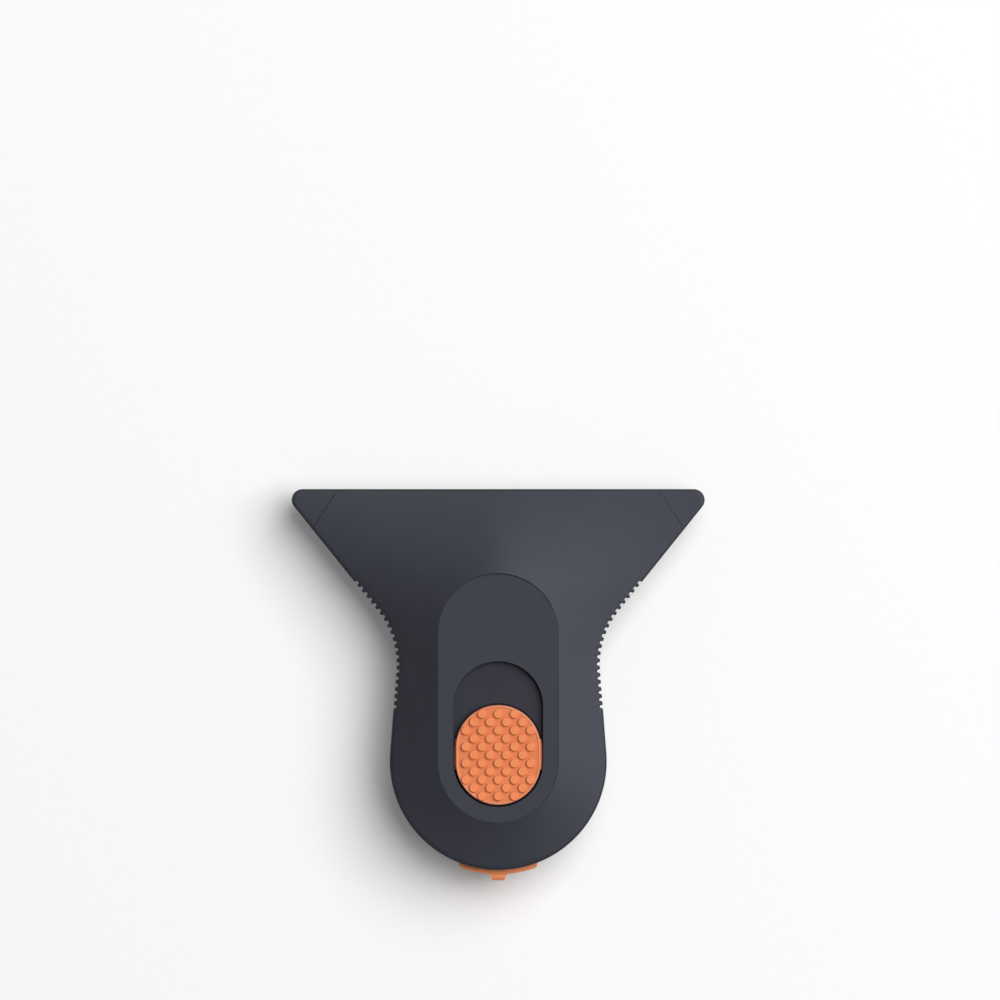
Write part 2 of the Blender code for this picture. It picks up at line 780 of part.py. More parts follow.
for i in range(4):                                                    # lugs in the blade's notches
    x = (i - 1.5) * BLADE_NOTCH_PITCH
    w = BLADE_NOTCH_W / 2 - 0.3
    pts = [(x + w, spine_y - 1.0)]
    for k in range(7):
        a = math.pi * k / 6
        pts.append((x + w * math.cos(a), spine_y + BLADE_NOTCH_D - 0.3 - w + w * math.sin(a)))
    pts.append((x - w, spine_y - 1.0))
    add_prism(bm, pts, PLATE_Z1 - 0.45, 6.72)
guide_lugs = finish("guide_lugs", bm, guide=True)
bm = bmesh.new()
for side in (1, -1):                                                  # skids on the tray floor
    x0, x1 = sorted((side * 6.9, side * 8.0))
    add_box(bm, x0, x1, -16.0, 3.0, 1.9, PLATE_Z0 + 0.4)
add_box(bm, -5.5, 5.5, -15.6, -6.4, PLATE_Z1 - 0.4, DECK_Z0 + 0.4)      # column under the button
guide_skids = finish("guide_skids_column", bm, guide=True)
guide_deck = prism("guide_deck", stadium(DECK_X, DECK_Y0, DECK_Y1), DECK_Z0, DECK_Z1, guide=True)
guide_lip = prism(
    "guide_deck_lip", stadium(DECK_X - 0.2, DECK_TAIL_Y0, DECK_TAIL_Y0 + 16.0), DECK_TAIL_Z0, DECK_TAIL_Z1, guide=True
)
cut(carrier, guide_shoulder, "UNION")
cut(carrier, guide_lugs, "UNION")
cut(carrier, guide_skids, "UNION")
cut(carrier, guide_deck, "UNION")
cut(carrier, guide_lip, "UNION")
cut_peg = boxes("cut_peg_hole", [(-3.5, 3.5, -14.8, -7.2, 7.3, 12.0)], guide=True)
cut(carrier, cut_peg)
# pocket for the detent leaf, and two lightening windows
cut_pocket = boxes(
    "cut_leaf_pocket",
    [
        (9.75, 12.0, -16.4, -4.6, 3.0, 7.0),
        (-6.6, 6.6, -5.2, 6.2, 3.0, 7.0),
    ],
    guide=True,
)
cut(carrier, cut_pocket)

# -------------------------------------------------------------- thumb button
button_shape = stadium(BUTTON_X, BUTTON_Y0, BUTTON_Y1, 16)
bm = bmesh.new()
levels = []
for inset, z in ((0.0, DECK_Z1 + 0.2), (0.0, BUTTON_TOP - BUTTON_RIM), (BUTTON_RIM, BUTTON_TOP)):
    pts = stadium(BUTTON_X - inset, BUTTON_Y0 + inset, BUTTON_Y1 - inset, 16)
    levels.append([bm.verts.new((x, y, z)) for x, y in pts])
for a, b in zip(levels, levels[1:]):
    for i in range(len(a)):
        k = (i + 1) % len(a)
        bm.faces.new((a[i], a[k], b[k], b[i]))
bm.faces.new(list(reversed(levels[0])))
bm.faces.new(levels[-1])
button = finish("thumb_button", bm, origin=SLIDE, mat=material("orange_nylon", ORANGE, 0.45))
# The lower flange fills the slot's width and follows its round rear end.
flange_mid = SLOT_Y0 + SLOT_X
flange_turn = math.asin((flange_mid - FLANGE_Y0) / FLANGE_X)
flange = [(FLANGE_X, FLANGE_Y1)]
flange += [
    (FLANGE_X * math.cos(flange_turn * k / 5), flange_mid - FLANGE_X * math.sin(flange_turn * k / 5))
    for k in range(6)
]
flange += [(-x, y) for x, y in reversed(flange)]
guide_flange = prism("guide_flange", flange, DECK_Z1 + 0.22, FLANGE_Z, guide=True)
guide_peg = boxes("guide_peg", [(-3.2, 3.2, -14.5, -7.5, 7.6, DECK_Z1 + 1.0)], guide=True)
cut(button, guide_flange, "UNION")
cut(button, guide_peg, "UNION")


def dot_places():
    mid = (BUTTON_Y0 + BUTTON_Y1) / 2
    rows = len(DOT_ROWS)
    for i, count in enumerate(DOT_ROWS):
        y = mid + ((rows - 1) / 2 - i) * DOT_PITCH_Y
        for k in range(count):
            yield (k - (count - 1) / 2) * DOT_PITCH_X, y


bm = bmesh.new()
for x, y in dot_places():
    pts = [
        (x + DOT_R * math.cos(math.pi * (2 * k + 1) / 8), y + DOT_R * math.sin(math.pi * (2 * k + 1) / 8))
        for k in range(8)
    ]
    add_prism(bm, pts, BUTTON_TOP - 0.4, BUTTON_TOP + DOT_H)
guide_dots = finish("guide_dots", bm, guide=True)
cut(button, guide_dots, "UNION")


# ------------------------------------------------------------- leaf springs
def strip(name, path, thick, z0, z1, **kw):
    """A leaf bent along a path in plan, standing from z0 to z1."""
    left, right = [], []
    for i, p in enumerate(path):
        a = Vector(path[max(i - 1, 0)])
        b = Vector(path[min(i + 1, len(path) - 1)])
        d = (b - a).normalized()
        n = Vector((-d.y, d.x)) * thick / 2
        left.append((p[0] + n.x, p[1] + n.y))
        right.append((p[0] - n.x, p[1] - n.y))
    return prism(name, right + list(reversed(left)), z0, z1, **kw)


def leaf_path():
    """Straight ends and a rounded bump that drops into a detent notch."""
    pts = [(10.15, -16.0), (10.15, -13.0)]
    for i in range(9):
        t = i / 8
        y = lerp(-12.4, -8.6, t)
        pts.append((10.15 + 1.5 * math.sin(math.pi * t) ** 2, y))
    pts += [(10.15, -8.0), (10.15, -5.0)]
    return pts


strip(
    "detent_spring", leaf_path(), 0.25, 4.15, 5.3,
    origin=SLIDE, mat=material("spring_steel_leaf", (0.6, 0.6, 0.62), 0.32, 1.0),
)


def bow_path():
    """A bow whose ends bear on the tray's rib and whose middle bears on the latch."""
    return [(lerp(-4.5, 4.5, i / 12), -21.66 - 1.66 * math.sin(math.pi * i / 12)) for i in range(13)]


strip(
    "latch_spring", bow_path(), 0.3, 4.4, 5.9,
    mat=material("spring_steel_bow", (0.6, 0.6, 0.62), 0.32, 1.0),
)

# ---------------------------------------------------------------- rear latch
def arc_band(r0, r1, half, end, n=10):
    """A band between two arcs about the tail's centre, with slanted ends."""
    mid = TAIL_Y - math.sqrt((TAIL_R - 0.1) ** 2 - half * half)
    pts = [(-half, mid)]
    for i in range(n + 1):
        x = lerp(-end, end, i / n)
        pts.append((x, TAIL_Y - math.sqrt(r1 * r1 - x * x)))
    pts.append((half, mid))
    for i in range(n + 1):
        x = lerp(half, -half, i / n)
        pts.append((x, TAIL_Y - math.sqrt(r0 * r0 - x * x)))
    return pts


LATCH = (0.0, -25.0, PART_Z)
latch = prism(
    "rear_latch",
    arc_band(LATCH_IN_R, LATCH_OUT_R, LATCH_HALF, LATCH_END),
    LATCH_Z0,
    LATCH_Z1,
    origin=LATCH,
    mat=material("orange_latch", ORANGE, 0.45),
)
guide_tab = prism(
    "guide_latch_tab",
    [(-x, y) for x, y in TAB_SIDE] + [(x, y) for x, y in reversed(TAB_SIDE)],
    LATCH_Z0 + 0.5,
    LATCH_Z1 - 0.1,
    guide=True,
)
guide_block = boxes("guide_latch_block", [(-5.2, 5.2, -27.4, -23.7, 4.6, 7.6)], guide=True)
guide_wings = boxes("guide_latch_wings", [(-7.5, 7.5, -24.45, -23.65, 4.65, 7.0)], guide=True)
guide_hook = boxes(
    "guide_latch_hook",
    [(-2.3, 2.3, -24.45, -23.7, 7.3, 9.5)],
    guide=True,
)
for guide in (guide_tab, guide_block, guide_wings, guide_hook):
    cut(latch, guide, "UNION")
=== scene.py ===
"""Ceramic blade scraper: finished surfaces, materials, light and camera.

Meshes are drawn in millimetres and put in the scene in metres.  The tool lies
on its back, +Z out of the slider face, +Y towards the blade.
"""

import math

import bmesh
import bpy
from mathutils import Matrix, Vector


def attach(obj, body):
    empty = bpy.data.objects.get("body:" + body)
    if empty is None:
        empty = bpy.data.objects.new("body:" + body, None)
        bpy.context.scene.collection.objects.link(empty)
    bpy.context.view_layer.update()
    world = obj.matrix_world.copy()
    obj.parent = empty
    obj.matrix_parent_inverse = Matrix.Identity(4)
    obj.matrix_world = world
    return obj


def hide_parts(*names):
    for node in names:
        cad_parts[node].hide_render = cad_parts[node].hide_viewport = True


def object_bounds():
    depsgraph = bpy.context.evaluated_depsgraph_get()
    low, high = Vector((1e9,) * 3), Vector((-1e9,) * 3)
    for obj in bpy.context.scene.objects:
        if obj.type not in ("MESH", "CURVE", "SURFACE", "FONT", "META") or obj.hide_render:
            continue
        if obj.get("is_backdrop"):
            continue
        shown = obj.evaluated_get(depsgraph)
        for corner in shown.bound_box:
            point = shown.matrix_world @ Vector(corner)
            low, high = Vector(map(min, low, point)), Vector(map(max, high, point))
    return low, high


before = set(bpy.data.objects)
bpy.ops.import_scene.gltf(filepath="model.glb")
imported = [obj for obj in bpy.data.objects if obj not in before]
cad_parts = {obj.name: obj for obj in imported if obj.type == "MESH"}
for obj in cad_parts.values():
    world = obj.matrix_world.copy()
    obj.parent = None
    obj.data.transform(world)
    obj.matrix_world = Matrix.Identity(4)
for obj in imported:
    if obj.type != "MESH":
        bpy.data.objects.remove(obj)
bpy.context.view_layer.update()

MM = 0.001

# ---------------------------------------------------------------- dimensions
# All in millimetres, as in the solids.
FRONT_Y = 30.5
CORNER_X = 30.515
CORNER_Y = 28.815
CORNER_R = 1.685
SIDE_ANGLE = 38.8
WAIST_X = 29.42
WAIST_Y = 3.08
WAIST_R = 13.57
FLARE_ANGLE = 4.4
TAIL_Y = -11.93
TAIL_R = 16.91

PART_Z = 6.3
GAP_Z = 0.05
RIDGE_H = 7.9
TAPER_Y = 19.0
TAPER_H = 5.85
TAPER_SLOPE = -0.25
RIDGE_SHARP = 0.12
TAIL_DROP = 0.8
EDGE_Y = (-29.0, -20.0, -12.0, 0.0, 8.0, 15.0, 21.0, 26.0, 30.5)
EDGE_H = (5.2, 4.9, 4.5, 4.4, 4.25, 3.65, 3.15, 2.85, 2.6)
EDGE_R = 0.36
EDGE_R_FRONT = 0.3
WALL_XY = 1.9
WALL_Z = 1.6
LID_WALL = 1.2

NOTCHES = 20
NOTCH_PITCH = 1.11
NOTCH_W = 0.54
NOTCH_D = 0.45
NOTCH_RAMP = 0.09
NOTCH_FIRST_Y = 15.77

PANEL_X = 9.36
PANEL_Y0 = -21.45
PANEL_Y1 = 17.4
PANEL_Z = 12.13
PANEL_RISE = 0.3
SLOT_X = 6.95
SLOT_Y0 = -18.94
SLOT_Y1 = 3.65
CEILING_Z = 11.1

BACK_X = 5.5
BACK_Y0 = -17.5
BACK_Y1 = 13.5
BACK_D = 0.3

SEAM_FRONT = (25.0, 30.5)
SEAM_BACK = (28.9, 24.4)
SEAM_GAP = 0.035        # as it shows at the surface
CORNER_STEP = 0.1       # the fixed corners lie this much below the lid

HINGE_Y = 29.6
HINGE_Z = 8.15
PIN_R = 0.35
BORE_R = 0.43
PIN_X0 = 22.0
PIN_X1 = 30.3

BLADE_EDGE_Y = 29.9
BLADE_HALF = 30.5
BLADE_SPINE_HALF = 16.1
BLADE_H = 18.8
BLADE_T = 1.0
BLADE_CORNER_R = 1.0
BLADE_BEVEL = 2.3
BLADE_EDGE_T = 0.2
BLADE_NOTCH_PITCH = 6.8
BLADE_NOTCH_W = 4.1
BLADE_NOTCH_D = 4.6
SLIT_Z0 = 5.5
SLIT_Z1 = 7.15
SLIT_HALF = 30.85

TRAVEL = 6.6
BUTTON_Y0 = -18.65
BUTTON_Y1 = -3.13
BUTTON_X = 6.61
BUTTON_TOP = 12.85
BUTTON_RIM = 0.16
BUTTON_DISH = 0.08       # the pad inside its rim lies this much lower
FLANGE_X = 6.91
FLANGE_Y0 = -13.2
FLANGE_Y1 = -8.4
FLANGE_Z = 11.65
DOT_R = 0.68
DOT_H = 0.31
DOT_PITCH_X = 2.53
DOT_PITCH_Y = 1.28
DOT_ROWS = (3, 4, 5, 4, 5, 4, 5, 4, 5, 4, 3)
DECK_Z0 = 9.95
DECK_Z1 = 10.85
DECK_X = 7.8
DECK_Y0 = -22.2
DECK_Y1 = 4.5
DECK_TAIL_Y0 = -24.2
DECK_TAIL_Z0 = 9.8
DECK_TAIL_Z1 = 10.5
PLATE_Z0 = 4.0
PLATE_Z1 = 5.5

LATCH_HALF = 6.2
LATCH_END = 6.0
LATCH_OUT_R = 17.6
LATCH_IN_R = 15.3
LATCH_Z0 = 4.3
LATCH_Z1 = 9.6
TAB_SIDE = (
    (1.72, -29.1), (1.72, -29.44), (1.5, -29.5), (1.35, -29.6), (1.24, -29.74), (1.15, -29.95),
    (1.06, -30.2), (0.99, -30.4), (0.9, -30.5),
)
WINDOW_HALF = 6.65
WINDOW_Z0 = 4.0
WINDOW_Z1 = 9.9


def lerp(a, b, t):
    return a + (b - a) * t


def smooth(t):
    t = min(max(t, 0.0), 1.0)
    return t * t * (3.0 - 2.0 * t)


# ------------------------------------------------------------------- outline
def side_points(corner=5, side=6, waist=6, flare=4, tail=14, inset=0.0):
    """Points of the right edge with their outward normals, front to tail."""
    s = math.radians(SIDE_ANGLE)
    f = math.radians(FLARE_ANGLE)
    pts = []
    n = (math.cos(s), -math.sin(s))
    reach = n[0] * CORNER_X + n[1] * CORNER_Y + CORNER_R - inset
    r = max(CORNER_R - inset, 0.3)
    cy = FRONT_Y - inset - r
    cx = (reach - r - n[1] * cy) / n[0]
    for i in range(corner + 1):
        a = lerp(math.pi / 2, -s, i / corner)
        n = (math.cos(a), math.sin(a))
        pts.append((cx + r * n[0], cy + r * n[1], *n))
    n = (math.cos(s), -math.sin(s))
    a = pts[-1]
    waist_r = WAIST_R + inset
    b = (WAIST_X - waist_r * n[0], WAIST_Y - waist_r * n[1])
    for i in range(1, side + 1):
        t = i / side
        pts.append((lerp(a[0], b[0], t), lerp(a[1], b[1], t), *n))
    for i in range(1, waist + 1):
        a = lerp(math.pi - s, math.pi + f, i / waist)
        n = (-math.cos(a), -math.sin(a))
        pts.append((WAIST_X - waist_r * n[0], WAIST_Y - waist_r * n[1], *n))
    n = (math.cos(f), math.sin(f))
    a = pts[-1]
    tail_r = TAIL_R - inset
    b = (tail_r * n[0], TAIL_Y + tail_r * n[1])
    for i in range(1, flare + 1):
        t = i / flare
        pts.append((lerp(a[0], b[0], t), lerp(a[1], b[1], t), *n))
    for i in range(1, tail + 1):
        a = lerp(f, -math.pi / 2, i / tail)
        n = (math.cos(a), math.sin(a))
        if i == tail:
            n = (0.0, -1.0)
        pts.append((tail_r * n[0], TAIL_Y + tail_r * n[1], *n))
    return pts


FINE_SIDE = side_points(24, 60, 60, 30, 90)


def half_width(y):
    if y >= FRONT_Y:
        return CORNER_X
    for (x0, y0, _, _), (x1, y1, _, _) in zip(FINE_SIDE, FINE_SIDE[1:]):
        if y1 <= y <= y0 and y0 > y1:
            return lerp(x0, x1, (y0 - y) / (y0 - y1))
    return TAIL_R


def ridge(y):
    if y <= 0.0:
        return RIDGE_H - TAIL_DROP * max((-8.0 - y) / 20.8, 0.0) ** 2
    if y >= TAPER_Y:
        return TAPER_H + TAPER_SLOPE * (y - TAPER_Y)
    t = y / TAPER_Y
    return (
        (2 * t**3 - 3 * t**2 + 1) * RIDGE_H
        + (3 * t**2 - 2 * t**3) * TAPER_H
        + (t**3 - t**2) * TAPER_SLOPE * TAPER_Y
    )


def edge_height(y):
    if y <= EDGE_Y[0]:
        return EDGE_H[0]
    for i in range(len(EDGE_Y) - 1):
        if y <= EDGE_Y[i + 1]:
            break
    t = (y - EDGE_Y[i]) / (EDGE_Y[i + 1] - EDGE_Y[i])

    def slope(k):
        if k == 0:
            return 0.0
        lo, hi = max(k - 1, 0), min(k + 1, len(EDGE_Y) - 1)
        return (EDGE_H[hi] - EDGE_H[lo]) / (EDGE_Y[hi] - EDGE_Y[lo])

    span = EDGE_Y[i + 1] - EDGE_Y[i]
    return (
        (2 * t**3 - 3 * t**2 + 1) * EDGE_H[i]
        + (3 * t**2 - 2 * t**3) * EDGE_H[i + 1]
        + (t**3 - 2 * t**2 + t) * slope(i) * span
        + (t**3 - t**2) * slope(i + 1) * span
    )


def seam_distance(x, y):
    """Distance beyond the nearer slanted seam, positive in the fixed corner."""
    (x0, y0), (x1, y1) = SEAM_FRONT, SEAM_BACK
    length = math.hypot(x1 - x0, y1 - y0)
    dx, dy = (x1 - x0) / length, (y1 - y0) / length
    return (abs(x) - x0) * -dy + (y - y0) * dx


def face_height(x, y):
    """Height of the outer face over the parting plane: a rounded roof."""
    if y < TAIL_Y:
        u = math.hypot(x, y - TAIL_Y) / TAIL_R
    else:
        u = abs(x) / half_width(y)
    u = min(u, 1.0)
    a = RIDGE_SHARP
    fall = (math.sqrt(u * u + a * a) - a) / (math.sqrt(1.0 + a * a) - a)
    top, side = ridge(y), edge_height(y)
    return top - (top - side) * fall


def corner_height(x, y):
    return face_height(x, y) - CORNER_STEP


def back_height(x, y):
    return min(face_height(x, y), PART_Z)


def inner_back(x, y):
    return back_height(x, y) - WALL_Z


def inner_face(x, y):
    return min(face_height(x, y) - LID_WALL, CEILING_Z - PART_Z)


def edge_radius(y):
    return lerp(EDGE_R, EDGE_R_FRONT, smooth((y - 22.0) / 6.0))


# -------------------------------------------------------------- mesh helpers
def finish(name, bm, mat=None, smooth_angle=None, scale=MM):
    """Puts a bmesh drawn in millimetres into the scene, in metres."""
    bmesh.ops.recalc_face_normals(bm, faces=bm.faces)
    bmesh.ops.scale(bm, vec=(scale, scale, scale), verts=bm.verts)
    mesh = bpy.data.meshes.new(name)
    bm.to_mesh(mesh)
    bm.free()
    obj = bpy.data.objects.new(name, mesh)
    bpy.context.collection.objects.link(obj)
    if mat:
        mesh.materials.append(mat)
    if smooth_angle:
        mesh.shade_smooth()
        mesh.set_sharp_from_angle(angle=math.radians(smooth_angle))
    return obj


def add_prism(bm, pts, z0, z1):
    low = [bm.verts.new((x, y, z0)) for x, y in pts]
    base = bm.faces.new(low)
    out = bmesh.ops.extrude_face_region(bm, geom=[base])
    top = [v for v in out["geom"] if isinstance(v, bmesh.types.BMVert)]
    bmesh.ops.translate(bm, verts=top, vec=(0, 0, z1 - z0))


def add_box(bm, x0, x1, y0, y1, z0, z1):
    add_prism(bm, [(x0, y0), (x1, y0), (x1, y1), (x0, y1)], z0, z1)


def prism(name, pts, z0, z1, **kw):
    bm = bmesh.new()
    add_prism(bm, pts, z0, z1)
    return finish(name, bm, **kw)


def boxes(name, rows, **kw):
    bm = bmesh.new()
    for row in rows:
        add_box(bm, *row)
    return finish(name, bm, **kw)


def stadium(half, y0, y1, n=24):
    """A slot shape with round ends, counter-clockwise."""
    pts = []
    for i in range(n + 1):
        a = math.pi * i / n
        pts.append((half * math.cos(a), y1 - half + half * math.sin(a)))
    for i in range(n + 1):
        a = math.pi + math.pi * i / n
        pts.append((half * math.cos(a), y0 + half + half * math.sin(a)))
    return pts


def add_stack(bm, levels):
    """A closed solid through rings of equal count, each (points, z)."""
    rings = [[bm.verts.new((x, y, z)) for x, y in pts] for pts, z in levels]
    for a, b in zip(rings, rings[1:]):
        for i in range(len(a)):
            k = (i + 1) % len(a)
            bm.faces.new((a[i], a[k], b[k], b[i]))
    bm.faces.new(list(reversed(rings[0])))
    bm.faces.new(rings[-1])
    return rings


def stadium_stack(name, half, y0, y1, levels, n=24, **kw):
    """A slot-shaped solid whose outline grows by the first number of each level."""
    bm = bmesh.new()
    add_stack(bm, [(stadium(half + g, y0 - g, y1 + g, n), z) for g, z in levels])
    return finish(name, bm, **kw)


def rod_along_x(bm, x0, x1, y, z, r, n=32, chamfer=0.0):
    """A round bar along X, with chamfered ends where chamfer is set."""
    stations = [(x0, r), (x1, r)]
    if chamfer:
        stations = [(x0, r - chamfer), (x0 + chamfer, r), (x1 - chamfer, r), (x1, r - chamfer)]
    rings = [
        [
            bm.verts.new((x, y + q * math.cos(2 * math.pi * i / n), z + q * math.sin(2 * math.pi * i / n)))
            for i in range(n)
        ]
        for x, q in stations
    ]
    for a, b in zip(rings, rings[1:]):
        for i in range(n):
            k = (i + 1) % n
            bm.faces.new((a[i], a[k], b[k], b[i]))
    bm.faces.new(list(reversed(rings[0])))
    bm.faces.new(rings[-1])


def apply_all(obj):
    """Replaces the mesh by what its modifiers make of it."""
    bpy.context.view_layer.update()
    graph = bpy.context.evaluated_depsgraph_get()
    mesh = bpy.data.meshes.new_from_object(obj.evaluated_get(graph))
    old = obj.data
    obj.modifiers.clear()
    obj.data = mesh
    mesh.name = obj.name
    bpy.data.meshes.remove(old)
    return obj


def combine(obj, *steps):
    """Runs Boolean steps, each (cutter, operation), and removes the cutters."""
    for cutter, operation in steps:
        mod = obj.modifiers.new(cutter.name, "BOOLEAN")
        mod.operation = operation
        mod.solver = "EXACT"
        mod.object = cutter
    apply_all(obj)
    for cutter in {c.name for c, _ in steps}:
        bpy.data.objects.remove(bpy.data.objects[cutter], do_unlink=True)
    return obj


def bmesh_clean(obj, dist=0.0005):
    """Joins points that lie on each other and drops what has no area."""
    bm = bmesh.new()
    bm.from_mesh(obj.data)
    bmesh.ops.remove_doubles(bm, verts=bm.verts, dist=dist * MM)
    bmesh.ops.dissolve_degenerate(bm, edges=bm.edges, dist=dist * MM)
    bm.to_mesh(obj.data)
    bm.free()
    return obj


def soften(obj, width, segments=2, angle=35.0):
    """Rounds the sharp edges of a small part."""
    mod = obj.modifiers.new("edges", "BEVEL")
    mod.width = width * MM
    mod.segments = segments
    mod.limit_method = "ANGLE"
    mod.angle_limit = math.radians(angle)
    mod.use_clamp_overlap = True
    mod.harden_normals = False
    return apply_all(obj)


def shade(obj, angle=35.0, sharp=None):
    """Smooth shading that keeps large flat faces flat up to their rims."""
    obj.data.shade_smooth()
    obj.data.set_sharp_from_angle(angle=math.radians(angle))
    if sharp:
        verts = obj.data.vertices
        for edge in obj.data.edges:
            if all(sharp(verts[i].co) for i in edge.vertices):
                edge.use_edge_sharp = True
    mod = obj.modifiers.new("normals", "WEIGHTED_NORMAL")
    mod.mode = "FACE_AREA"
    mod.weight = 50
    mod.keep_sharp = True
    return apply_all(obj)


def one_material(obj, mat):
    obj.data.materials.clear()
    obj.data.materials.append(mat)
    return obj


# --------------------------------------------------------- the crowned shells
def edge_runs():
    """The five runs of the right edge, front to tail, each (length, point at)."""
    s = math.radians(SIDE_ANGLE)
    f = math.radians(FLARE_ANGLE)

    def arc(cx, cy, r, a0, a1, out):
        def at(d):
            a = lerp(a0, a1, d / abs((a1 - a0) * r))
            n = (math.cos(a), math.sin(a))
            return (cx + r * n[0], cy + r * n[1], out * n[0], out * n[1])

        return abs((a1 - a0) * r), at

    def line(a, b):
        length = math.hypot(b[0] - a[0], b[1] - a[1])

        def at(d):
            t = d / length
            return (lerp(a[0], b[0], t), lerp(a[1], b[1], t), a[2], a[3])

        return length, at

    first = arc(CORNER_X, CORNER_Y, CORNER_R, math.pi / 2, -s, 1.0)
    n = (math.cos(s), -math.sin(s))
    side = line(first[1](first[0]), (WAIST_X - WAIST_R * n[0], WAIST_Y - WAIST_R * n[1]))
    waist = arc(WAIST_X, WAIST_Y, WAIST_R, math.pi - s, math.pi + f, -1.0)
    n = (math.cos(f), math.sin(f))
    flare = line(waist[1](waist[0]), (TAIL_R * n[0], TAIL_Y + TAIL_R * n[1]))
    tail = arc(0.0, TAIL_Y, TAIL_R, f, -math.pi / 2, 1.0)
    return [first, side, waist, flare, tail]


RUNS = edge_runs()
STARTS = [sum(r[0] for r in RUNS[:i]) for i in range(len(RUNS) + 1)]


def edge_at(s):
    """Point and outward normal at running length s of the right edge."""
    for i, (length, at) in enumerate(RUNS):
        if s <= STARTS[i + 1] or i == len(RUNS) - 1:
            return at(min(max(s - STARTS[i], 0.0), length))


def notch_centres():
    s = STARTS[1]
    while edge_at(s)[1] > NOTCH_FIRST_Y:
        s += 0.001
    return [s + i * NOTCH_PITCH for i in range(NOTCHES)]


NOTCH_S = notch_centres()


def notch_depth(s):
    """Depth of the grip notches at running length s."""
    t = min(abs(s - c) for c in NOTCH_S)
    return NOTCH_D * smooth((NOTCH_W / 2 + NOTCH_RAMP - t) / (2 * NOTCH_RAMP))


def edge_stations():
    """Running lengths for the fine edge, close together at each notch."""
    lo = NOTCH_S[0] - NOTCH_PITCH / 2
    hi = NOTCH_S[-1] + NOTCH_PITCH / 2
    out = []
    counts = (14, 34, 16, 22, 44)
    for i, (length, _) in enumerate(RUNS):
        for k in range(counts[i]):
            s = STARTS[i] + length * k / counts[i]
            if not lo - 0.2 < s < hi + 0.2:
                out.append(s)
    h = NOTCH_W / 2
    r = NOTCH_RAMP
    for c in NOTCH_S:
        for t in (-h - r - 0.11, -h - r, -h - r * 0.5, -h, -h + r * 0.5, -h + r):
            out.append(c + t)
        for t in (h - r, h - r * 0.5, h, h + r * 0.5, h + r):
            out.append(c + t)
    out.append(STARTS[-1])
    return sorted(out)


STATIONS = edge_stations()


def crowned(bm, flat_z, height, sign, columns=52, lip=0.0, capped=True):
    """The fine outer body on one side of the parting plane, notches included."""
    side = []
    for s in STATIONS:
        x, y, nx, ny = edge_at(s)
        d = notch_depth(s)
        near = min(smooth((s - NOTCH_S[0] + 2.5) / 2.0), smooth((NOTCH_S[-1] + 2.5 - s) / 2.0))
        side.append((x, y, nx, ny, d, lerp(0.75, 1.25, near)))
    x, y, _, _, d, k = side[-1]
    side[-1] = (0.0, y, 0.0, -1.0, d, k)
    us = [1.0 - 2.0 * j / columns for j in range(columns + 1)]
    ring = [p for p in reversed(side)]
    ring += [(side[0][0] * u, side[0][1], 0.0, 1.0, 0.0, side[0][5]) for u in us[1:-1]]
    ring += [(-x, y, -nx, ny, d, k) for x, y, nx, ny, d, k in side[:-1]]

    def at(x, y, drop):
        return bm.verts.new((x, y, PART_Z + sign * (height(x, y) - drop)))

    rings = []
    if lip:
        rings.append([bm.verts.new((x - nx * (d + lip), y - ny * (d + lip), flat_z)) for x, y, nx, ny, d, k in ring])
        rings.append([bm.verts.new((x - nx * d, y - ny * d, flat_z + sign * lip)) for x, y, nx, ny, d, k in ring])
    else:
        rings.append([bm.verts.new((x - nx * d, y - ny * d, flat_z)) for x, y, nx, ny, d, k in ring])
    for step in (0.0, 0.2, 0.4, 0.6, 0.8, 1.0):
        level = []
        for x, y, nx, ny, d, k in ring:
            r = edge_radius(y) * (1.0 - 0.5 * d / NOTCH_D)
            a = step * math.pi / 2
            q = d + r * (1 - math.cos(a))
            level.append(at(x - nx * q, y - ny * q, r * (1 - math.sin(a))))
        rings.append(level)
    rings.append([at(x - nx * k, y - ny * k, 0.0) for x, y, nx, ny, d, k in ring])
    count = len(ring)
    for a, b in zip(rings, rings[1:]):
        for i in range(count):
            j = (i + 1) % count
            bm.faces.new((a[i], a[j], b[j], b[i]))
    if capped:
        bm.faces.new(list(reversed(rings[0])))
    top = rings[-1]
    n = len(side)
    right = [top[n - 1 - i] for i in range(n)]
    left = [top[(n - 1) + columns + i] if (n - 1) + columns + i < count else top[0] for i in range(n)]
    rows = []
    for i in range(n - 1):
        r, l = right[i].co, left[i].co
        row = [right[i]]
        if i == 0:
            row += top[n : n + columns - 1]
        else:
            for u in us[1:-1]:
                row.append(at(lerp(l.x, r.x, (u + 1) / 2), r.y, 0.0))
        row.append(left[i])
        rows.append(row)
    for a, b in zip(rows, rows[1:]):
        for j in range(columns):
            bm.faces.new((a[j], a[j + 1], b[j + 1], b[j]))
    tail = rows[-1]
    for j in range(columns):
        bm.faces.new((tail[j], tail[j + 1], top[0]))


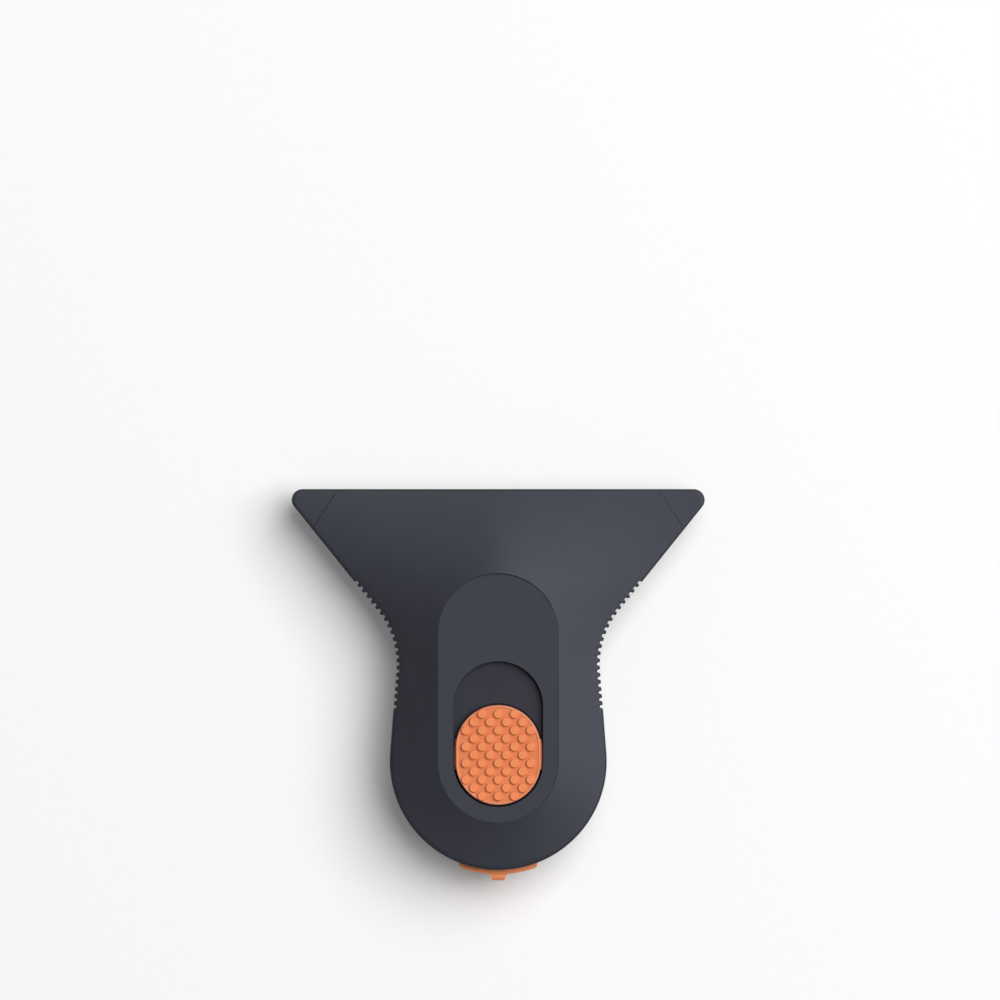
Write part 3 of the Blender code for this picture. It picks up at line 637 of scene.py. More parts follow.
def slab(bm, inset, flat_z, height, sign=1, columns=16, counts=(5, 10, 10, 6, 24)):
    """A plain crowned solid, for the hollows."""
    side = side_points(*counts, inset=inset)
    us = [1.0 - 2.0 * j / columns for j in range(columns + 1)]
    ring = list(reversed(side))
    ring += [(side[0][0] * u, side[0][1], 0.0, 1.0) for u in us[1:-1]]
    ring += [(-x, y, -nx, ny) for x, y, nx, ny in side[:-1]]

    def at(x, y):
        return bm.verts.new((x, y, PART_Z + sign * height(x, y)))

    base = [bm.verts.new((x, y, flat_z)) for x, y, nx, ny in ring]
    top = [at(x, y) for x, y, nx, ny in ring]
    count = len(ring)
    for i in range(count):
        k = (i + 1) % count
        bm.faces.new((base[i], base[k], top[k], top[i]))
    bm.faces.new(list(reversed(base)))
    n = len(side)
    right = [top[n - 1 - i] for i in range(n)]
    left = [top[(n - 1) + columns + i] if (n - 1) + columns + i < count else top[0] for i in range(n)]
    rows = []
    for i in range(n - 1):
        r, l = right[i].co, left[i].co
        row = [right[i]]
        if i == 0:
            row += top[n : n + columns - 1]
        else:
            for u in us[1:-1]:
                row.append(at(lerp(l.x, r.x, (u + 1) / 2), r.y))
        row.append(left[i])
        rows.append(row)
    for a, b in zip(rows, rows[1:]):
        for j in range(columns):
            bm.faces.new((a[j], a[j + 1], b[j + 1], b[j]))
    tail = rows[-1]
    for j in range(columns):
        bm.faces.new((tail[j], tail[j + 1], top[0]))
    bmesh.ops.triangulate(bm, faces=bm.faces)


def seam_line(side, shift):
    (x0, y0), (x1, y1) = SEAM_FRONT, SEAM_BACK
    length = math.hypot(x1 - x0, y1 - y0)
    dx, dy = (x1 - x0) / length, (y1 - y0) / length
    nx, ny = -dy, dx
    a = (x0 - dx * 2.0 + nx * shift, y0 - dy * 2.0 + ny * shift)
    b = (x1 + dx * 2.2 + nx * shift, y1 + dy * 2.2 + ny * shift)
    return [(side * a[0], a[1]), (side * b[0], b[1])]


def seam_lip(side, r):
    """A cutter that rounds the lid's lip along the slanted seam of one side."""
    lift = 0.6
    start = -SEAM_GAP / 2
    profile = [(start - r * 1.08, lift), (start - r * 1.08, 0.01)]
    for a in (0.35, 0.75, 1.15):
        profile.append((start - r * (1 - math.sin(a)), -r * (1 - math.cos(a))))
    profile += [(start + 0.06, -r * 1.1), (start + 0.3, -r * 1.1), (start + 0.3, lift)]
    (x0, y0), (x1, y1) = seam_line(1, 0.0)
    length = math.hypot(x1 - x0, y1 - y0)
    nx, ny = -(y1 - y0) / length, (x1 - x0) / length
    bm = bmesh.new()
    rows = []
    for i in range(49):
        t = i / 48
        x, y = lerp(x0, x1, t), lerp(y0, y1, t)
        row = []
        for off, rise in profile:
            px, py = x + nx * off, y + ny * off
            z = PART_Z + face_height(px, min(py, FRONT_Y)) + rise
            row.append(bm.verts.new((side * px, py, z)))
        rows.append(row)
    n = len(profile)
    for a, b in zip(rows, rows[1:]):
        for k in range(n):
            m = (k + 1) % n
            bm.faces.new((a[k], a[m], b[m], b[k]))
    bm.faces.new(list(reversed(rows[0])))
    bm.faces.new(rows[-1])
    bmesh.ops.triangulate(bm, faces=bm.faces)
    return finish("cut_seam_lip", bm)


def on_seam_lip(co):
    """Whether a corner of the lid's mesh lies on the lip of a slanted seam."""
    x, y, z = abs(co.x) / MM, co.y / MM, co.z / MM
    (x0, y0), (x1, y1) = seam_line(1, 0.0)
    length = math.hypot(x1 - x0, y1 - y0)
    off = ((y - y0) * (x1 - x0) - (x - x0) * (y1 - y0)) / length
    return z > 8.7 and -0.1 < off < 0.01


def blade_way():
    back = BLADE_EDGE_Y - BLADE_H - 0.4
    lead = BLADE_EDGE_Y - 0.4
    wide = BLADE_SPINE_HALF + 0.45
    pts = [(SLIT_HALF, FRONT_Y + 1.0), (-SLIT_HALF, FRONT_Y + 1.0), (-SLIT_HALF, lead)]
    pts += [(-wide, back), (wide, back), (SLIT_HALF, lead)]
    bm = bmesh.new()
    add_prism(bm, pts, SLIT_Z0, SLIT_Z1)
    return bm


def add_window(bm):
    add_box(bm, -WINDOW_HALF, WINDOW_HALF, -32.0, -24.0, WINDOW_Z0, WINDOW_Z1)


def add_bores(bm):
    rod_along_x(bm, PIN_X0 - 0.3, PIN_X1 + 0.3, HINGE_Y, HINGE_Z, BORE_R, 32)
    rod_along_x(bm, -PIN_X1 - 0.3, -PIN_X0 + 0.3, HINGE_Y, HINGE_Z, BORE_R, 32)


def back_skin(x, y):
    return PART_Z - back_height(x, y) + WALL_Z / 2


def lid_skin(x, y):
    return PART_Z + face_height(x, y) - WALL_Z / 2


def add_rib(bm, x0, x1, y0, y1, z, skin, n=7):
    x = (x0 + x1) / 2
    root = [(lerp(y1, y0, i / n), skin(x, lerp(y1, y0, i / n))) for i in range(n + 1)]
    low = [bm.verts.new((x0, y, h)) for y, h in [(y0, z), (y1, z)] + root]
    base = bm.faces.new(low)
    out = bmesh.ops.extrude_face_region(bm, geom=[base])
    far = [v for v in out["geom"] if isinstance(v, bmesh.types.BMVert)]
    bmesh.ops.translate(bm, verts=far, vec=(x1 - x0, 0, 0))


# ----------------------------------------------------------------- materials
def node(tree, kind, place=(0, 0), **values):
    n = tree.nodes.new(kind)
    n.location = place
    for key, value in values.items():
        setattr(n, key, value)
    return n


def moulded(name, base, tint, roughness, grain=9000.0, grain_depth=0.012, mottle=260.0, spec=0.5, gleam=(1.0, 1.0, 1.0)):
    """A moulded plastic: soft colour drift, a fine spark-eroded grain and uneven gloss."""
    mat = bpy.data.materials.new(name)
    mat.use_nodes = True
    t = mat.node_tree
    shader = t.nodes["Principled BSDF"]
    shader.inputs["Metallic"].default_value = 0.0
    shader.inputs["Specular IOR Level"].default_value = spec
    shader.inputs["IOR"].default_value = 1.5
    shader.inputs["Specular Tint"].default_value = (*gleam, 1.0)
    where = node(t, "ShaderNodeTexCoord", (-1300, 0))
    drift = node(t, "ShaderNodeTexNoise", (-1000, 240))
    drift.inputs["Scale"].default_value = mottle
    drift.inputs["Detail"].default_value = 4.0
    t.links.new(where.outputs["Object"], drift.inputs["Vector"])
    speck = node(t, "ShaderNodeTexNoise", (-1000, -20))
    speck.inputs["Scale"].default_value = grain
    speck.inputs["Detail"].default_value = 2.0
    t.links.new(where.outputs["Object"], speck.inputs["Vector"])
    mix = node(t, "ShaderNodeMix", (-600, 260), data_type="RGBA")
    mix.inputs["A"].default_value = (*base, 1.0)
    mix.inputs["B"].default_value = (*tint, 1.0)
    ramp = node(t, "ShaderNodeMapRange", (-800, 300))
    ramp.inputs["From Min"].default_value = 0.3
    ramp.inputs["From Max"].default_value = 0.7
    t.links.new(drift.outputs["Fac"], ramp.inputs["Value"])
    t.links.new(ramp.outputs["Result"], mix.inputs["Factor"])
    t.links.new(mix.outputs["Result"], shader.inputs["Base Color"])
    rough = node(t, "ShaderNodeMapRange", (-600, 0))
    rough.inputs["From Min"].default_value = 0.3
    rough.inputs["From Max"].default_value = 0.7
    rough.inputs["To Min"].default_value = roughness - 0.05
    rough.inputs["To Max"].default_value = roughness + 0.05
    t.links.new(speck.outputs["Fac"], rough.inputs["Value"])
    t.links.new(rough.outputs["Result"], shader.inputs["Roughness"])
    bump = node(t, "ShaderNodeBump", (-400, -240))
    bump.inputs["Strength"].default_value = 0.35
    bump.inputs["Distance"].default_value = grain_depth * MM
    t.links.new(speck.outputs["Fac"], bump.inputs["Height"])
    t.links.new(bump.outputs["Normal"], shader.inputs["Normal"])
    return mat


def paint_top_highlight(mat, z0, z1, base, tint):
    """Painted highlight: a second, lighter pair of colours for what stands higher than the rest (z in mm), standing
    in for the light the tops catch.
    """
    t = mat.node_tree
    shader = t.nodes["Principled BSDF"]
    drift = next(n for n in t.nodes if n.type == "MIX")
    where = next(n for n in t.nodes if n.type == "TEX_COORD")
    split = node(t, "ShaderNodeSeparateXYZ", (-1000, 520))
    t.links.new(where.outputs["Object"], split.inputs["Vector"])
    height = node(t, "ShaderNodeMapRange", (-800, 520))
    height.inputs["From Min"].default_value = z0 * MM
    height.inputs["From Max"].default_value = z1 * MM
    t.links.new(split.outputs["Z"], height.inputs["Value"])
    high = node(t, "ShaderNodeMix", (-400, 520), data_type="RGBA")
    high.inputs["A"].default_value = (*base, 1.0)
    high.inputs["B"].default_value = (*tint, 1.0)
    t.links.new(drift.inputs["Factor"].links[0].from_socket, high.inputs["Factor"])
    both = node(t, "ShaderNodeMix", (-200, 400), data_type="RGBA")
    t.links.new(height.outputs["Result"], both.inputs["Factor"])
    t.links.new(drift.outputs["Result"], both.inputs["A"])
    t.links.new(high.outputs["Result"], both.inputs["B"])
    t.links.new(both.outputs["Result"], shader.inputs["Base Color"])
    return mat


def metal(name, colour, roughness, along="X", scale=900.0):
    """Drawn or rolled steel, with fine lines along one axis."""
    mat = bpy.data.materials.new(name)
    mat.use_nodes = True
    t = mat.node_tree
    shader = t.nodes["Principled BSDF"]
    shader.inputs["Metallic"].default_value = 1.0
    where = node(t, "ShaderNodeTexCoord", (-1200, 0))
    turn = node(t, "ShaderNodeMapping", (-1000, 0))
    stretch = {"X": (0.04, 1.0, 1.0), "Y": (1.0, 0.04, 1.0)}[along]
    turn.inputs["Scale"].default_value = stretch
    t.links.new(where.outputs["Object"], turn.inputs["Vector"])
    lines = node(t, "ShaderNodeTexNoise", (-800, 0))
    lines.inputs["Scale"].default_value = scale * 8
    lines.inputs["Detail"].default_value = 3.0
    t.links.new(turn.outputs["Vector"], lines.inputs["Vector"])
    mix = node(t, "ShaderNodeMix", (-500, 200), data_type="RGBA")
    mix.inputs["A"].default_value = (*[c * 0.86 for c in colour], 1.0)
    mix.inputs["B"].default_value = (*colour, 1.0)
    t.links.new(lines.outputs["Fac"], mix.inputs["Factor"])
    t.links.new(mix.outputs["Result"], shader.inputs["Base Color"])
    rough = node(t, "ShaderNodeMapRange", (-500, 0))
    rough.inputs["To Min"].default_value = roughness - 0.08
    rough.inputs["To Max"].default_value = roughness + 0.1
    t.links.new(lines.outputs["Fac"], rough.inputs["Value"])
    t.links.new(rough.outputs["Result"], shader.inputs["Roughness"])
    bump = node(t, "ShaderNodeBump", (-300, -200))
    bump.inputs["Strength"].default_value = 0.2
    bump.inputs["Distance"].default_value = 0.004 * MM
    t.links.new(lines.outputs["Fac"], bump.inputs["Height"])
    t.links.new(bump.outputs["Normal"], shader.inputs["Normal"])
    return mat


def ceramic(name):
    """White zirconia: faintly warm, smooth, with grinding lines across the edge."""
    mat = bpy.data.materials.new(name)
    mat.use_nodes = True
    t = mat.node_tree
    shader = t.nodes["Principled BSDF"]
    shader.inputs["IOR"].default_value = 2.1
    shader.inputs["Subsurface Weight"].default_value = 0.12
    shader.inputs["Subsurface Scale"].default_value = 0.4 * MM
    where = node(t, "ShaderNodeTexCoord", (-1200, 0))
    turn = node(t, "ShaderNodeMapping", (-1000, 0))
    turn.inputs["Scale"].default_value = (1.0, 0.02, 0.02)
    t.links.new(where.outputs["Object"], turn.inputs["Vector"])
    lines = node(t, "ShaderNodeTexNoise", (-800, 0))
    lines.inputs["Scale"].default_value = 9000.0
    lines.inputs["Detail"].default_value = 2.0
    t.links.new(turn.outputs["Vector"], lines.inputs["Vector"])
    cloud = node(t, "ShaderNodeTexNoise", (-800, 260))
    cloud.inputs["Scale"].default_value = 220.0
    t.links.new(where.outputs["Object"], cloud.inputs["Vector"])
    mix = node(t, "ShaderNodeMix", (-500, 200), data_type="RGBA")
    mix.inputs["A"].default_value = (0.80, 0.80, 0.775, 1.0)
    mix.inputs["B"].default_value = (0.87, 0.87, 0.855, 1.0)
    t.links.new(cloud.outputs["Fac"], mix.inputs["Factor"])
    t.links.new(mix.outputs["Result"], shader.inputs["Base Color"])
    rough = node(t, "ShaderNodeMapRange", (-500, 0))
    rough.inputs["To Min"].default_value = 0.16
    rough.inputs["To Max"].default_value = 0.34
    t.links.new(lines.outputs["Fac"], rough.inputs["Value"])
    t.links.new(rough.outputs["Result"], shader.inputs["Roughness"])
    bump = node(t, "ShaderNodeBump", (-300, -200))
    bump.inputs["Strength"].default_value = 0.25
    bump.inputs["Distance"].default_value = 0.003 * MM
    t.links.new(lines.outputs["Fac"], bump.inputs["Height"])
    t.links.new(bump.outputs["Normal"], shader.inputs["Normal"])
    return mat


DARK = (0.0161, 0.0167, 0.0213)
DARK_TINT = (0.018, 0.0187, 0.0238)
GLEAM = (0.785, 0.815, 1.0)
lid_nylon = moulded("lid_nylon", DARK, DARK_TINT, 0.54, spec=0.555, gleam=GLEAM)
tray_nylon = moulded("tray_nylon", DARK, DARK_TINT, 0.54, spec=0.555, gleam=GLEAM)
carrier_acetal = moulded("carrier_acetal", (0.0165, 0.0165, 0.0215), (0.0185, 0.0187, 0.024), 0.5, spec=0.36, gleam=GLEAM, grain=7000.0, grain_depth=0.006)
ORANGE = (0.71, 0.194, 0.062)
ORANGE_TINT = (0.75, 0.211, 0.074)
TOP_HIGHLIGHT = (0.86, 0.240, 0.078)
TOP_HIGHLIGHT_TINT = (0.90, 0.258, 0.091)
# painted highlight: the dot tops get a lighter orange than the pad between them
orange_pad = paint_top_highlight(
    moulded("orange_pad", ORANGE, ORANGE_TINT, 0.5, spec=0.35, grain=6500.0, grain_depth=0.008),
    BUTTON_TOP + 0.1, BUTTON_TOP + DOT_H - 0.06, TOP_HIGHLIGHT, TOP_HIGHLIGHT_TINT,
)
# painted highlight for the pad's rim: a paler orange
orange_rim = moulded("orange_rim", (0.70, 0.236, 0.108), (0.74, 0.255, 0.12), 0.45, grain=6500.0, grain_depth=0.006)
# painted light: a lighter orange than the pad's, offsetting the shade the body casts on the latch
orange_tab = moulded("orange_tab", (0.93, 0.27, 0.082), (0.96, 0.29, 0.095), 0.5, grain=6500.0, grain_depth=0.008)
zirconia = ceramic("zirconia")
pin_steel = metal("pin_steel", (0.62, 0.62, 0.63), 0.3, "X")
leaf_steel = metal("leaf_steel", (0.60, 0.60, 0.62), 0.32, "Y")
bow_steel = metal("bow_steel", (0.60, 0.60, 0.62), 0.32, "X")

# ---------------------------------------------------------------------- tray
bm = bmesh.new()
crowned(bm, PART_Z, back_height, -1, capped=False)
crowned(bm, PART_Z, corner_height, 1, capped=False)
bmesh.ops.remove_doubles(bm, verts=bm.verts, dist=0.0005)
tray = finish("tray", bm)

right, left = seam_line(1, SEAM_GAP / 2), seam_line(-1, SEAM_GAP / 2)
cut_lid_space = prism(
    "cut_lid_space",
    [
        (-40.0, -40.0), (40.0, -40.0), (40.0, right[1][1]), right[1], right[0],
        left[0], left[1], (-40.0, left[1][1]),
    ],
    PART_Z - GAP_Z,
    16.0,
)
bm = bmesh.new()
slab(bm, WALL_XY, PART_Z + 0.4, inner_back, sign=-1)
cut_tray = finish("cut_tray_hollow", bm)

bm = bmesh.new()
for side in (1, -1):
    for x, half, y0, y1, z in (
        (12.1, 0.6, -16.0, 6.0, 4.8),
        (15.2, 0.6, 14.0, 29.2, SLIT_Z0),
        (20.9, 0.6, 20.5, 29.2, SLIT_Z0),
        (3.6, 0.6, -26.9, -21.9, 4.0),
    ):
        add_rib(bm, side * x - half, side * x + half, y0, y1, z, back_skin)
add_box(bm, -5.0, 5.0, -21.2, -20.2, 0.9, 6.0)
tray_ribs = finish("tray_ribs", bm)
# a tongue on each fixed corner reaches under the lid's lip and closes the seam to the light
(x0, y0), (x1, y1) = SEAM_FRONT, SEAM_BACK
length = math.hypot(x1 - x0, y1 - y0)
ux, uy = (x1 - x0) / length, (y1 - y0) / length
bm = bmesh.new()
for side in (1, -1):
    x, y = lerp(x0, x1, 0.56), lerp(y0, y1, 0.56)
    add_prism(bm, [
        (side * (x + ux * along - uy * off), y + uy * along + ux * off)
        for along, off in ((-0.5, -0.17), (0.5, -0.17), (0.5, 0.6), (-0.5, 0.6))
    ], 7.3, 8.45)
    # a second one near the edge follows the lip up to just below the face, and a
    # thin one in front covers the hinge pin
    fit = 0.005 - SEAM_GAP / 2
    for start, stop, profile in (
        (6.1, 6.8, [(-0.17, 7.3), (0.4, 7.3), (0.4, 9.04), (fit, 9.04), (fit, 8.7), (-0.17, 8.5)]),
        (0.7, 1.5, [(fit, 8.71), (0.4, 8.71), (0.4, 8.83), (fit, 8.83)]),
    ):
        ends = []
        for along in (start, stop):
            x, y = x0 + ux * along, y0 + uy * along
            ends.append([
                bm.verts.new((side * (x - uy * off), y + ux * off, z)) for off, z in profile
            ])
        front, back = ends
        bm.faces.new(front)
        bm.faces.new(back[::-1])
        for i in range(len(profile)):
            j = (i + 1) % len(profile)
            bm.faces.new((front[j], front[i], back[i], back[j]))
tongues = finish("tongues", bm)

DETENT_Y = -10.5
bm = blade_way()
add_window(bm)
add_bores(bm)
for i in range(3):
    y = DETENT_Y + i * TRAVEL / 2
    add_prism(bm, [(11.0, y - 1.25), (12.1, y - 0.15), (12.1, y + 0.15), (11.0, y + 1.25)], 3.6, 5.4)
cut_openings = finish("cut_tray_openings", bm)
cut_back = stadium_stack(
    "cut_back_panel", BACK_X, BACK_Y0, BACK_Y1,
    [(0.25, -1.0), (0.12, 0.0), (0.02, 0.1), (0.0, 0.2), (-0.04, 0.27), (-0.1, BACK_D)], n=25,
)
combine(
    tray,
    (cut_lid_space, "DIFFERENCE"),
    (cut_tray, "DIFFERENCE"),
    (tray_ribs, "UNION"),
    (tongues, "UNION"),
    (cut_openings, "DIFFERENCE"),
    (cut_back, "DIFFERENCE"),
)
one_material(shade(tray, 32), tray_nylon)

# ----------------------------------------------------------------------- lid
bm = bmesh.new()
crowned(bm, PART_Z + GAP_Z, face_height, 1, lip=0.12)
lid = finish("lid", bm)
bm = bmesh.new()
# under its lips the lid stands back from the fixed corners, to clear them as it swings
for side in (1, -1):
    levels = []
    for back, z in ((0.22, PART_Z - 1.0), (0.22, 8.6), (SEAM_GAP / 2, 8.76), (SEAM_GAP / 2, 15.0)):
        a, b = seam_line(side, -back)
        levels.append(([a, b, (side * 38.0, b[1]), (side * 38.0, a[1])], z))
    add_stack(bm, levels)
cut_corners = finish("cut_lid_corners", bm)
bm = bmesh.new()
slab(bm, WALL_XY, PART_Z - 0.4, inner_face, sign=1)
cut_lid = finish("cut_lid_hollow", bm)
bm = bmesh.new()
for x, y0 in ((-20.0, 19.5), (-13.2, 13.0), (13.2, 13.0), (20.0, 19.5)):
    add_rib(bm, x - 0.5, x + 0.5, y0, 29.2, 7.1, lid_skin)
lid_ribs = finish("lid_ribs", bm)
bm = blade_way()
add_window(bm)
add_bores(bm)
cut_openings = finish("cut_lid_openings", bm)


def panel_floor(x, y):
    """The panel's floor is level ahead of its straight sides and rises a little behind."""
    front = PANEL_Y1 - PANEL_X
    return PANEL_Z + PANEL_RISE * max((front - y) / (front - PANEL_Y0), 0.0)


def roof(x, y):
    return PART_Z + face_height(x, y)


def rim_cutter(name, half, y0, y1, levels, n=36):
    """A slot-shaped cutter whose levels, each (outline growth, surface, rise), follow a surface."""
    rings = []
    bm = bmesh.new()
    for grow, surface, rise in levels:
        pts = stadium(half + grow, y0 - grow, y1 + grow, n)
        base = stadium(half, y0, y1, n)
        rings.append([
            bm.verts.new((x, y, (surface(bx, by) if surface else 0.0) + rise))
            for (x, y), (bx, by) in zip(pts, base)
        ])
    for a, b in zip(rings, rings[1:]):
        for i in range(len(a)):
            k = (i + 1) % len(a)
            bm.faces.new((a[i], a[k], b[k], b[i]))
    low = rings[0]
    bm.faces.new(low[: n + 1])
    bm.faces.new([low[n]] + low[n + 1 :] + [low[0]])
    bm.faces.new(rings[-1])
    return finish(name, bm)


cut_panel = rim_cutter(
    "cut_panel", PANEL_X, PANEL_Y0, PANEL_Y1,
    [(-0.03, panel_floor, 0.0), (0.0, panel_floor, 0.02), (0.0, roof, -0.03), (0.015, roof, -0.008),
     (0.04, roof, 0.01), (0.04, None, 15.0)],
)
cut_slot = rim_cutter(
    "cut_slot", SLOT_X, SLOT_Y0, SLOT_Y1,
    [(0.0, None, 9.0), (0.0, panel_floor, -0.09), (0.02, panel_floor, -0.04), (0.05, panel_floor, -0.012),
     (0.09, panel_floor, 0.01), (0.09, None, 15.0)],
)


def catch_frame():
    """The bar on two posts that hangs from the lid over the latch."""
    out, post, low, bar, top = 3.4, 2.8, 8.0, 8.7, 11.1
    shape = [
        (-out, top), (-out, low), (out, low), (out, top),
        (post, top), (post, bar), (-post, bar), (-post, top),
    ]
    bm = bmesh.new()
    base = bm.faces.new([bm.verts.new((x, -25.45, z)) for x, z in shape])
    out = bmesh.ops.extrude_face_region(bm, geom=[base])
    far = [v for v in out["geom"] if isinstance(v, bmesh.types.BMVert)]
    bmesh.ops.translate(bm, verts=far, vec=(0, 0.8, 0))
    frame_bar = finish("catch_frame", bm)
    mod = frame_bar.modifiers.new("edges", "BEVEL")
    mod.width = 0.12 * MM
    mod.segments = 2
    return apply_all(frame_bar)


combine(
    lid,
    (cut_corners, "DIFFERENCE"),
    (cut_lid, "DIFFERENCE"),
    (lid_ribs, "UNION"),
    (cut_openings, "DIFFERENCE"),
    (seam_lip(1, 0.08), "DIFFERENCE"),
)
combine(
    lid,
    (seam_lip(-1, 0.08), "DIFFERENCE"),
    (catch_frame(), "UNION"),
    (cut_panel, "DIFFERENCE"),
    (cut_slot, "DIFFERENCE"),
)
bmesh_clean(lid)
one_material(shade(lid, 32, on_seam_lip), lid_nylon)


# -------------------------------------------------------------- thumb button
def dot_places():
    mid = (BUTTON_Y0 + BUTTON_Y1) / 2
    rows = len(DOT_ROWS)
    for i, count in enumerate(DOT_ROWS):
        y = mid + ((rows - 1) / 2 - i) * DOT_PITCH_Y
        for k in range(count):
            yield (k - (count - 1) / 2) * DOT_PITCH_X, y


bm = bmesh.new()
steps = [(0.0, DECK_Z1 + 0.2), (0.0, BUTTON_TOP - BUTTON_RIM)]
for k in range(1, 6):
    a = k / 5 * math.pi / 2
    steps.append((-BUTTON_RIM * (1 - math.cos(a)), BUTTON_TOP - BUTTON_RIM * (1 - math.sin(a))))
steps += [(-0.24, BUTTON_TOP), (-0.32, BUTTON_TOP - 0.2 * BUTTON_DISH), (-0.42, BUTTON_TOP - 0.8 * BUTTON_DISH),
          (-0.5, BUTTON_TOP - BUTTON_DISH)]
add_stack(bm, [(stadium(BUTTON_X + g, BUTTON_Y0 - g, BUTTON_Y1 + g, 48), z) for g, z in steps])
button = finish("button", bm)

flange_mid = -12.05
flange_turn = math.asin((flange_mid - FLANGE_Y0) / FLANGE_X)


def flange_shape(g):
    half = FLANGE_X + g
    pts = [(half - 0.19, FLANGE_Y1 + g), (half - 0.1, FLANGE_Y1 - 0.8), (half, FLANGE_Y1 - 1.6)]
    pts += [
        (half * math.cos(flange_turn * k / 12), flange_mid - half * math.sin(flange_turn * k / 12))
        for k in range(13)
    ]
    return pts + [(-x, y) for x, y in reversed(pts)]


bm = bmesh.new()
add_stack(bm, [
    (flange_shape(0.0), DECK_Z1 + 0.22),
    (flange_shape(0.0), FLANGE_Z - 0.12),
    (flange_shape(-0.04), FLANGE_Z - 0.04),
    (flange_shape(-0.12), FLANGE_Z),
])
button_flange = finish("button_flange", bm)
button_peg = boxes("button_peg", [(-3.2, 3.2, -14.5, -7.5, 7.6, DECK_Z1 + 1.0)])
bm = bmesh.new()
for x, y in dot_places():
    profile = [(DOT_R + 0.05, BUTTON_TOP - 0.3), (DOT_R + 0.05, BUTTON_TOP + 0.0), (DOT_R, BUTTON_TOP + 0.05)]
    rim = 0.07
    profile.append((DOT_R, BUTTON_TOP + DOT_H - rim))
    for k in range(1, 4):
        a = k / 3 * math.pi / 2
        profile.append((DOT_R - rim * (1 - math.cos(a)), BUTTON_TOP + DOT_H - rim * (1 - math.sin(a))))
    add_stack(bm, [
        ([(x + r * math.cos(2 * math.pi * k / 28), y + r * math.sin(2 * math.pi * k / 28)) for k in range(28)], z)
        for r, z in profile
    ])
dots = finish("dots", bm)
combine(button, (button_flange, "UNION"), (button_peg, "UNION"), (dots, "UNION"))
one_material(shade(button, 40), orange_pad)
# painted highlight: the rim of the pad is paler, standing in for light caught by its rounded edge
button.data.materials.append(orange_rim)
centre_front, centre_back = BUTTON_Y1 - BUTTON_X, BUTTON_Y0 + BUTTON_X
for face in button.data.polygons:
    x, y, z = (c / MM for c in face.center)
    inside = BUTTON_X - math.hypot(x, y - min(max(y, centre_back), centre_front))
    if z > BUTTON_TOP - 0.14 and inside < 0.36:
        face.material_index = 1

# --------------------------------------------------------------------- latch


def arc_band(r0, r1, half, end, n=40):
    mid = TAIL_Y - math.sqrt((TAIL_R - 0.1) ** 2 - half * half)
    pts = [(-half, mid)]
    for i in range(n + 1):
        x = lerp(-end, end, i / n)
        pts.append((x, TAIL_Y - math.sqrt(r1 * r1 - x * x)))
    pts.append((half, mid))
    for i in range(n + 1):
        x = lerp(half, -half, i / n)
        pts.append((x, TAIL_Y - math.sqrt(r0 * r0 - x * x)))
    return pts


latch = prism("latch", arc_band(LATCH_IN_R, LATCH_OUT_R, LATCH_HALF, LATCH_END), LATCH_Z0, LATCH_Z1)
soften(latch, 0.18, 4, 30)


def tab_shape(cut):
    """The tab in plan, with its tip drawn back to cut."""
    side = [(x, max(y, cut)) for x, y in TAB_SIDE]
    return [(-x, y) for x, y in side] + [(x, y) for x, y in reversed(side)]


# its top slopes down at the tip
bm = bmesh.new()
add_stack(bm, [
    (tab_shape(-30.5), LATCH_Z0 + 0.5),
    (tab_shape(-30.5), LATCH_Z1 - 0.7),
    (tab_shape(-30.42), LATCH_Z1 - 0.5),
    (tab_shape(-30.18), LATCH_Z1 - 0.16),
    (tab_shape(-30.1), LATCH_Z1 - 0.1),
])
latch_tab = finish("latch_tab", bm)
bmesh_clean(latch_tab)
soften(latch_tab, 0.07, 2, 60)
bmesh_clean(latch_tab, 0.004)
latch_block = boxes("latch_block", [(-5.2, 5.2, -27.1, -23.7, 4.6, 7.6)])
latch_wings = boxes("latch_wings", [(-7.5, 7.5, -24.45, -23.65, 4.65, 7.0)])
latch_hook = boxes("latch_hook", [(-2.3, 2.3, -24.4, -23.77, 7.2, 9.5)])
soften(latch_block, 0.15)
soften(latch_wings, 0.12)
soften(latch_hook, 0.12)
combine(latch, (latch_block, "UNION"), (latch_wings, "UNION"), (latch_hook, "UNION"), (latch_tab, "UNION"))
bmesh_clean(latch)
# the latch's brighter orange is painted light against the body's shadow
one_material(shade(latch, 35), orange_tab)

# --------------------------------------------------------------------- blade
spine_y = BLADE_EDGE_Y - BLADE_H


def blade_outline():
    pts = []

    def fillet(p, a, b, r, n):
        pa = Vector((a[0] - p[0], a[1] - p[1])).normalized()
        pb = Vector((b[0] - p[0], b[1] - p[1])).normalized()
        half = math.acos(max(-1.0, min(1.0, pa.dot(pb)))) / 2
        mid = (pa + pb).normalized()
        c = Vector(p) + mid * (r / math.sin(half))
        start = Vector(p) + pa * (r / math.tan(half)) - c
        end = Vector(p) + pb * (r / math.tan(half)) - c
        a0 = math.atan2(start.y, start.x)
        turn = math.atan2(start.x * end.y - start.y * end.x, start.dot(end))
        for i in range(n + 1):
            t = a0 + turn * i / n
            pts.append((c.x + r * math.cos(t), c.y + r * math.sin(t)))

    e = BLADE_EDGE_Y
    corners = [
        (BLADE_HALF, e),
        (-BLADE_HALF, e),
        (-BLADE_SPINE_HALF, spine_y),
        (BLADE_SPINE_HALF, spine_y),
    ]
    fillet(corners[0], corners[3], corners[1], BLADE_CORNER_R, 10)
    fillet(corners[1], corners[0], corners[2], BLADE_CORNER_R, 10)
    fillet(corners[2], corners[1], corners[3], BLADE_CORNER_R, 10)
    w = BLADE_NOTCH_W / 2
    for i in range(4):
        x = (i - 1.5) * BLADE_NOTCH_PITCH
        pts.append((x - w, spine_y))
        for k in range(17):
            a = math.pi - math.pi * k / 16
            pts.append((x + w * math.cos(a), spine_y + BLADE_NOTCH_D - w + w * math.sin(a)))
        pts.append((x + w, spine_y))
    fillet(corners[3], corners[2], corners[0], BLADE_CORNER_R, 10)
    return pts


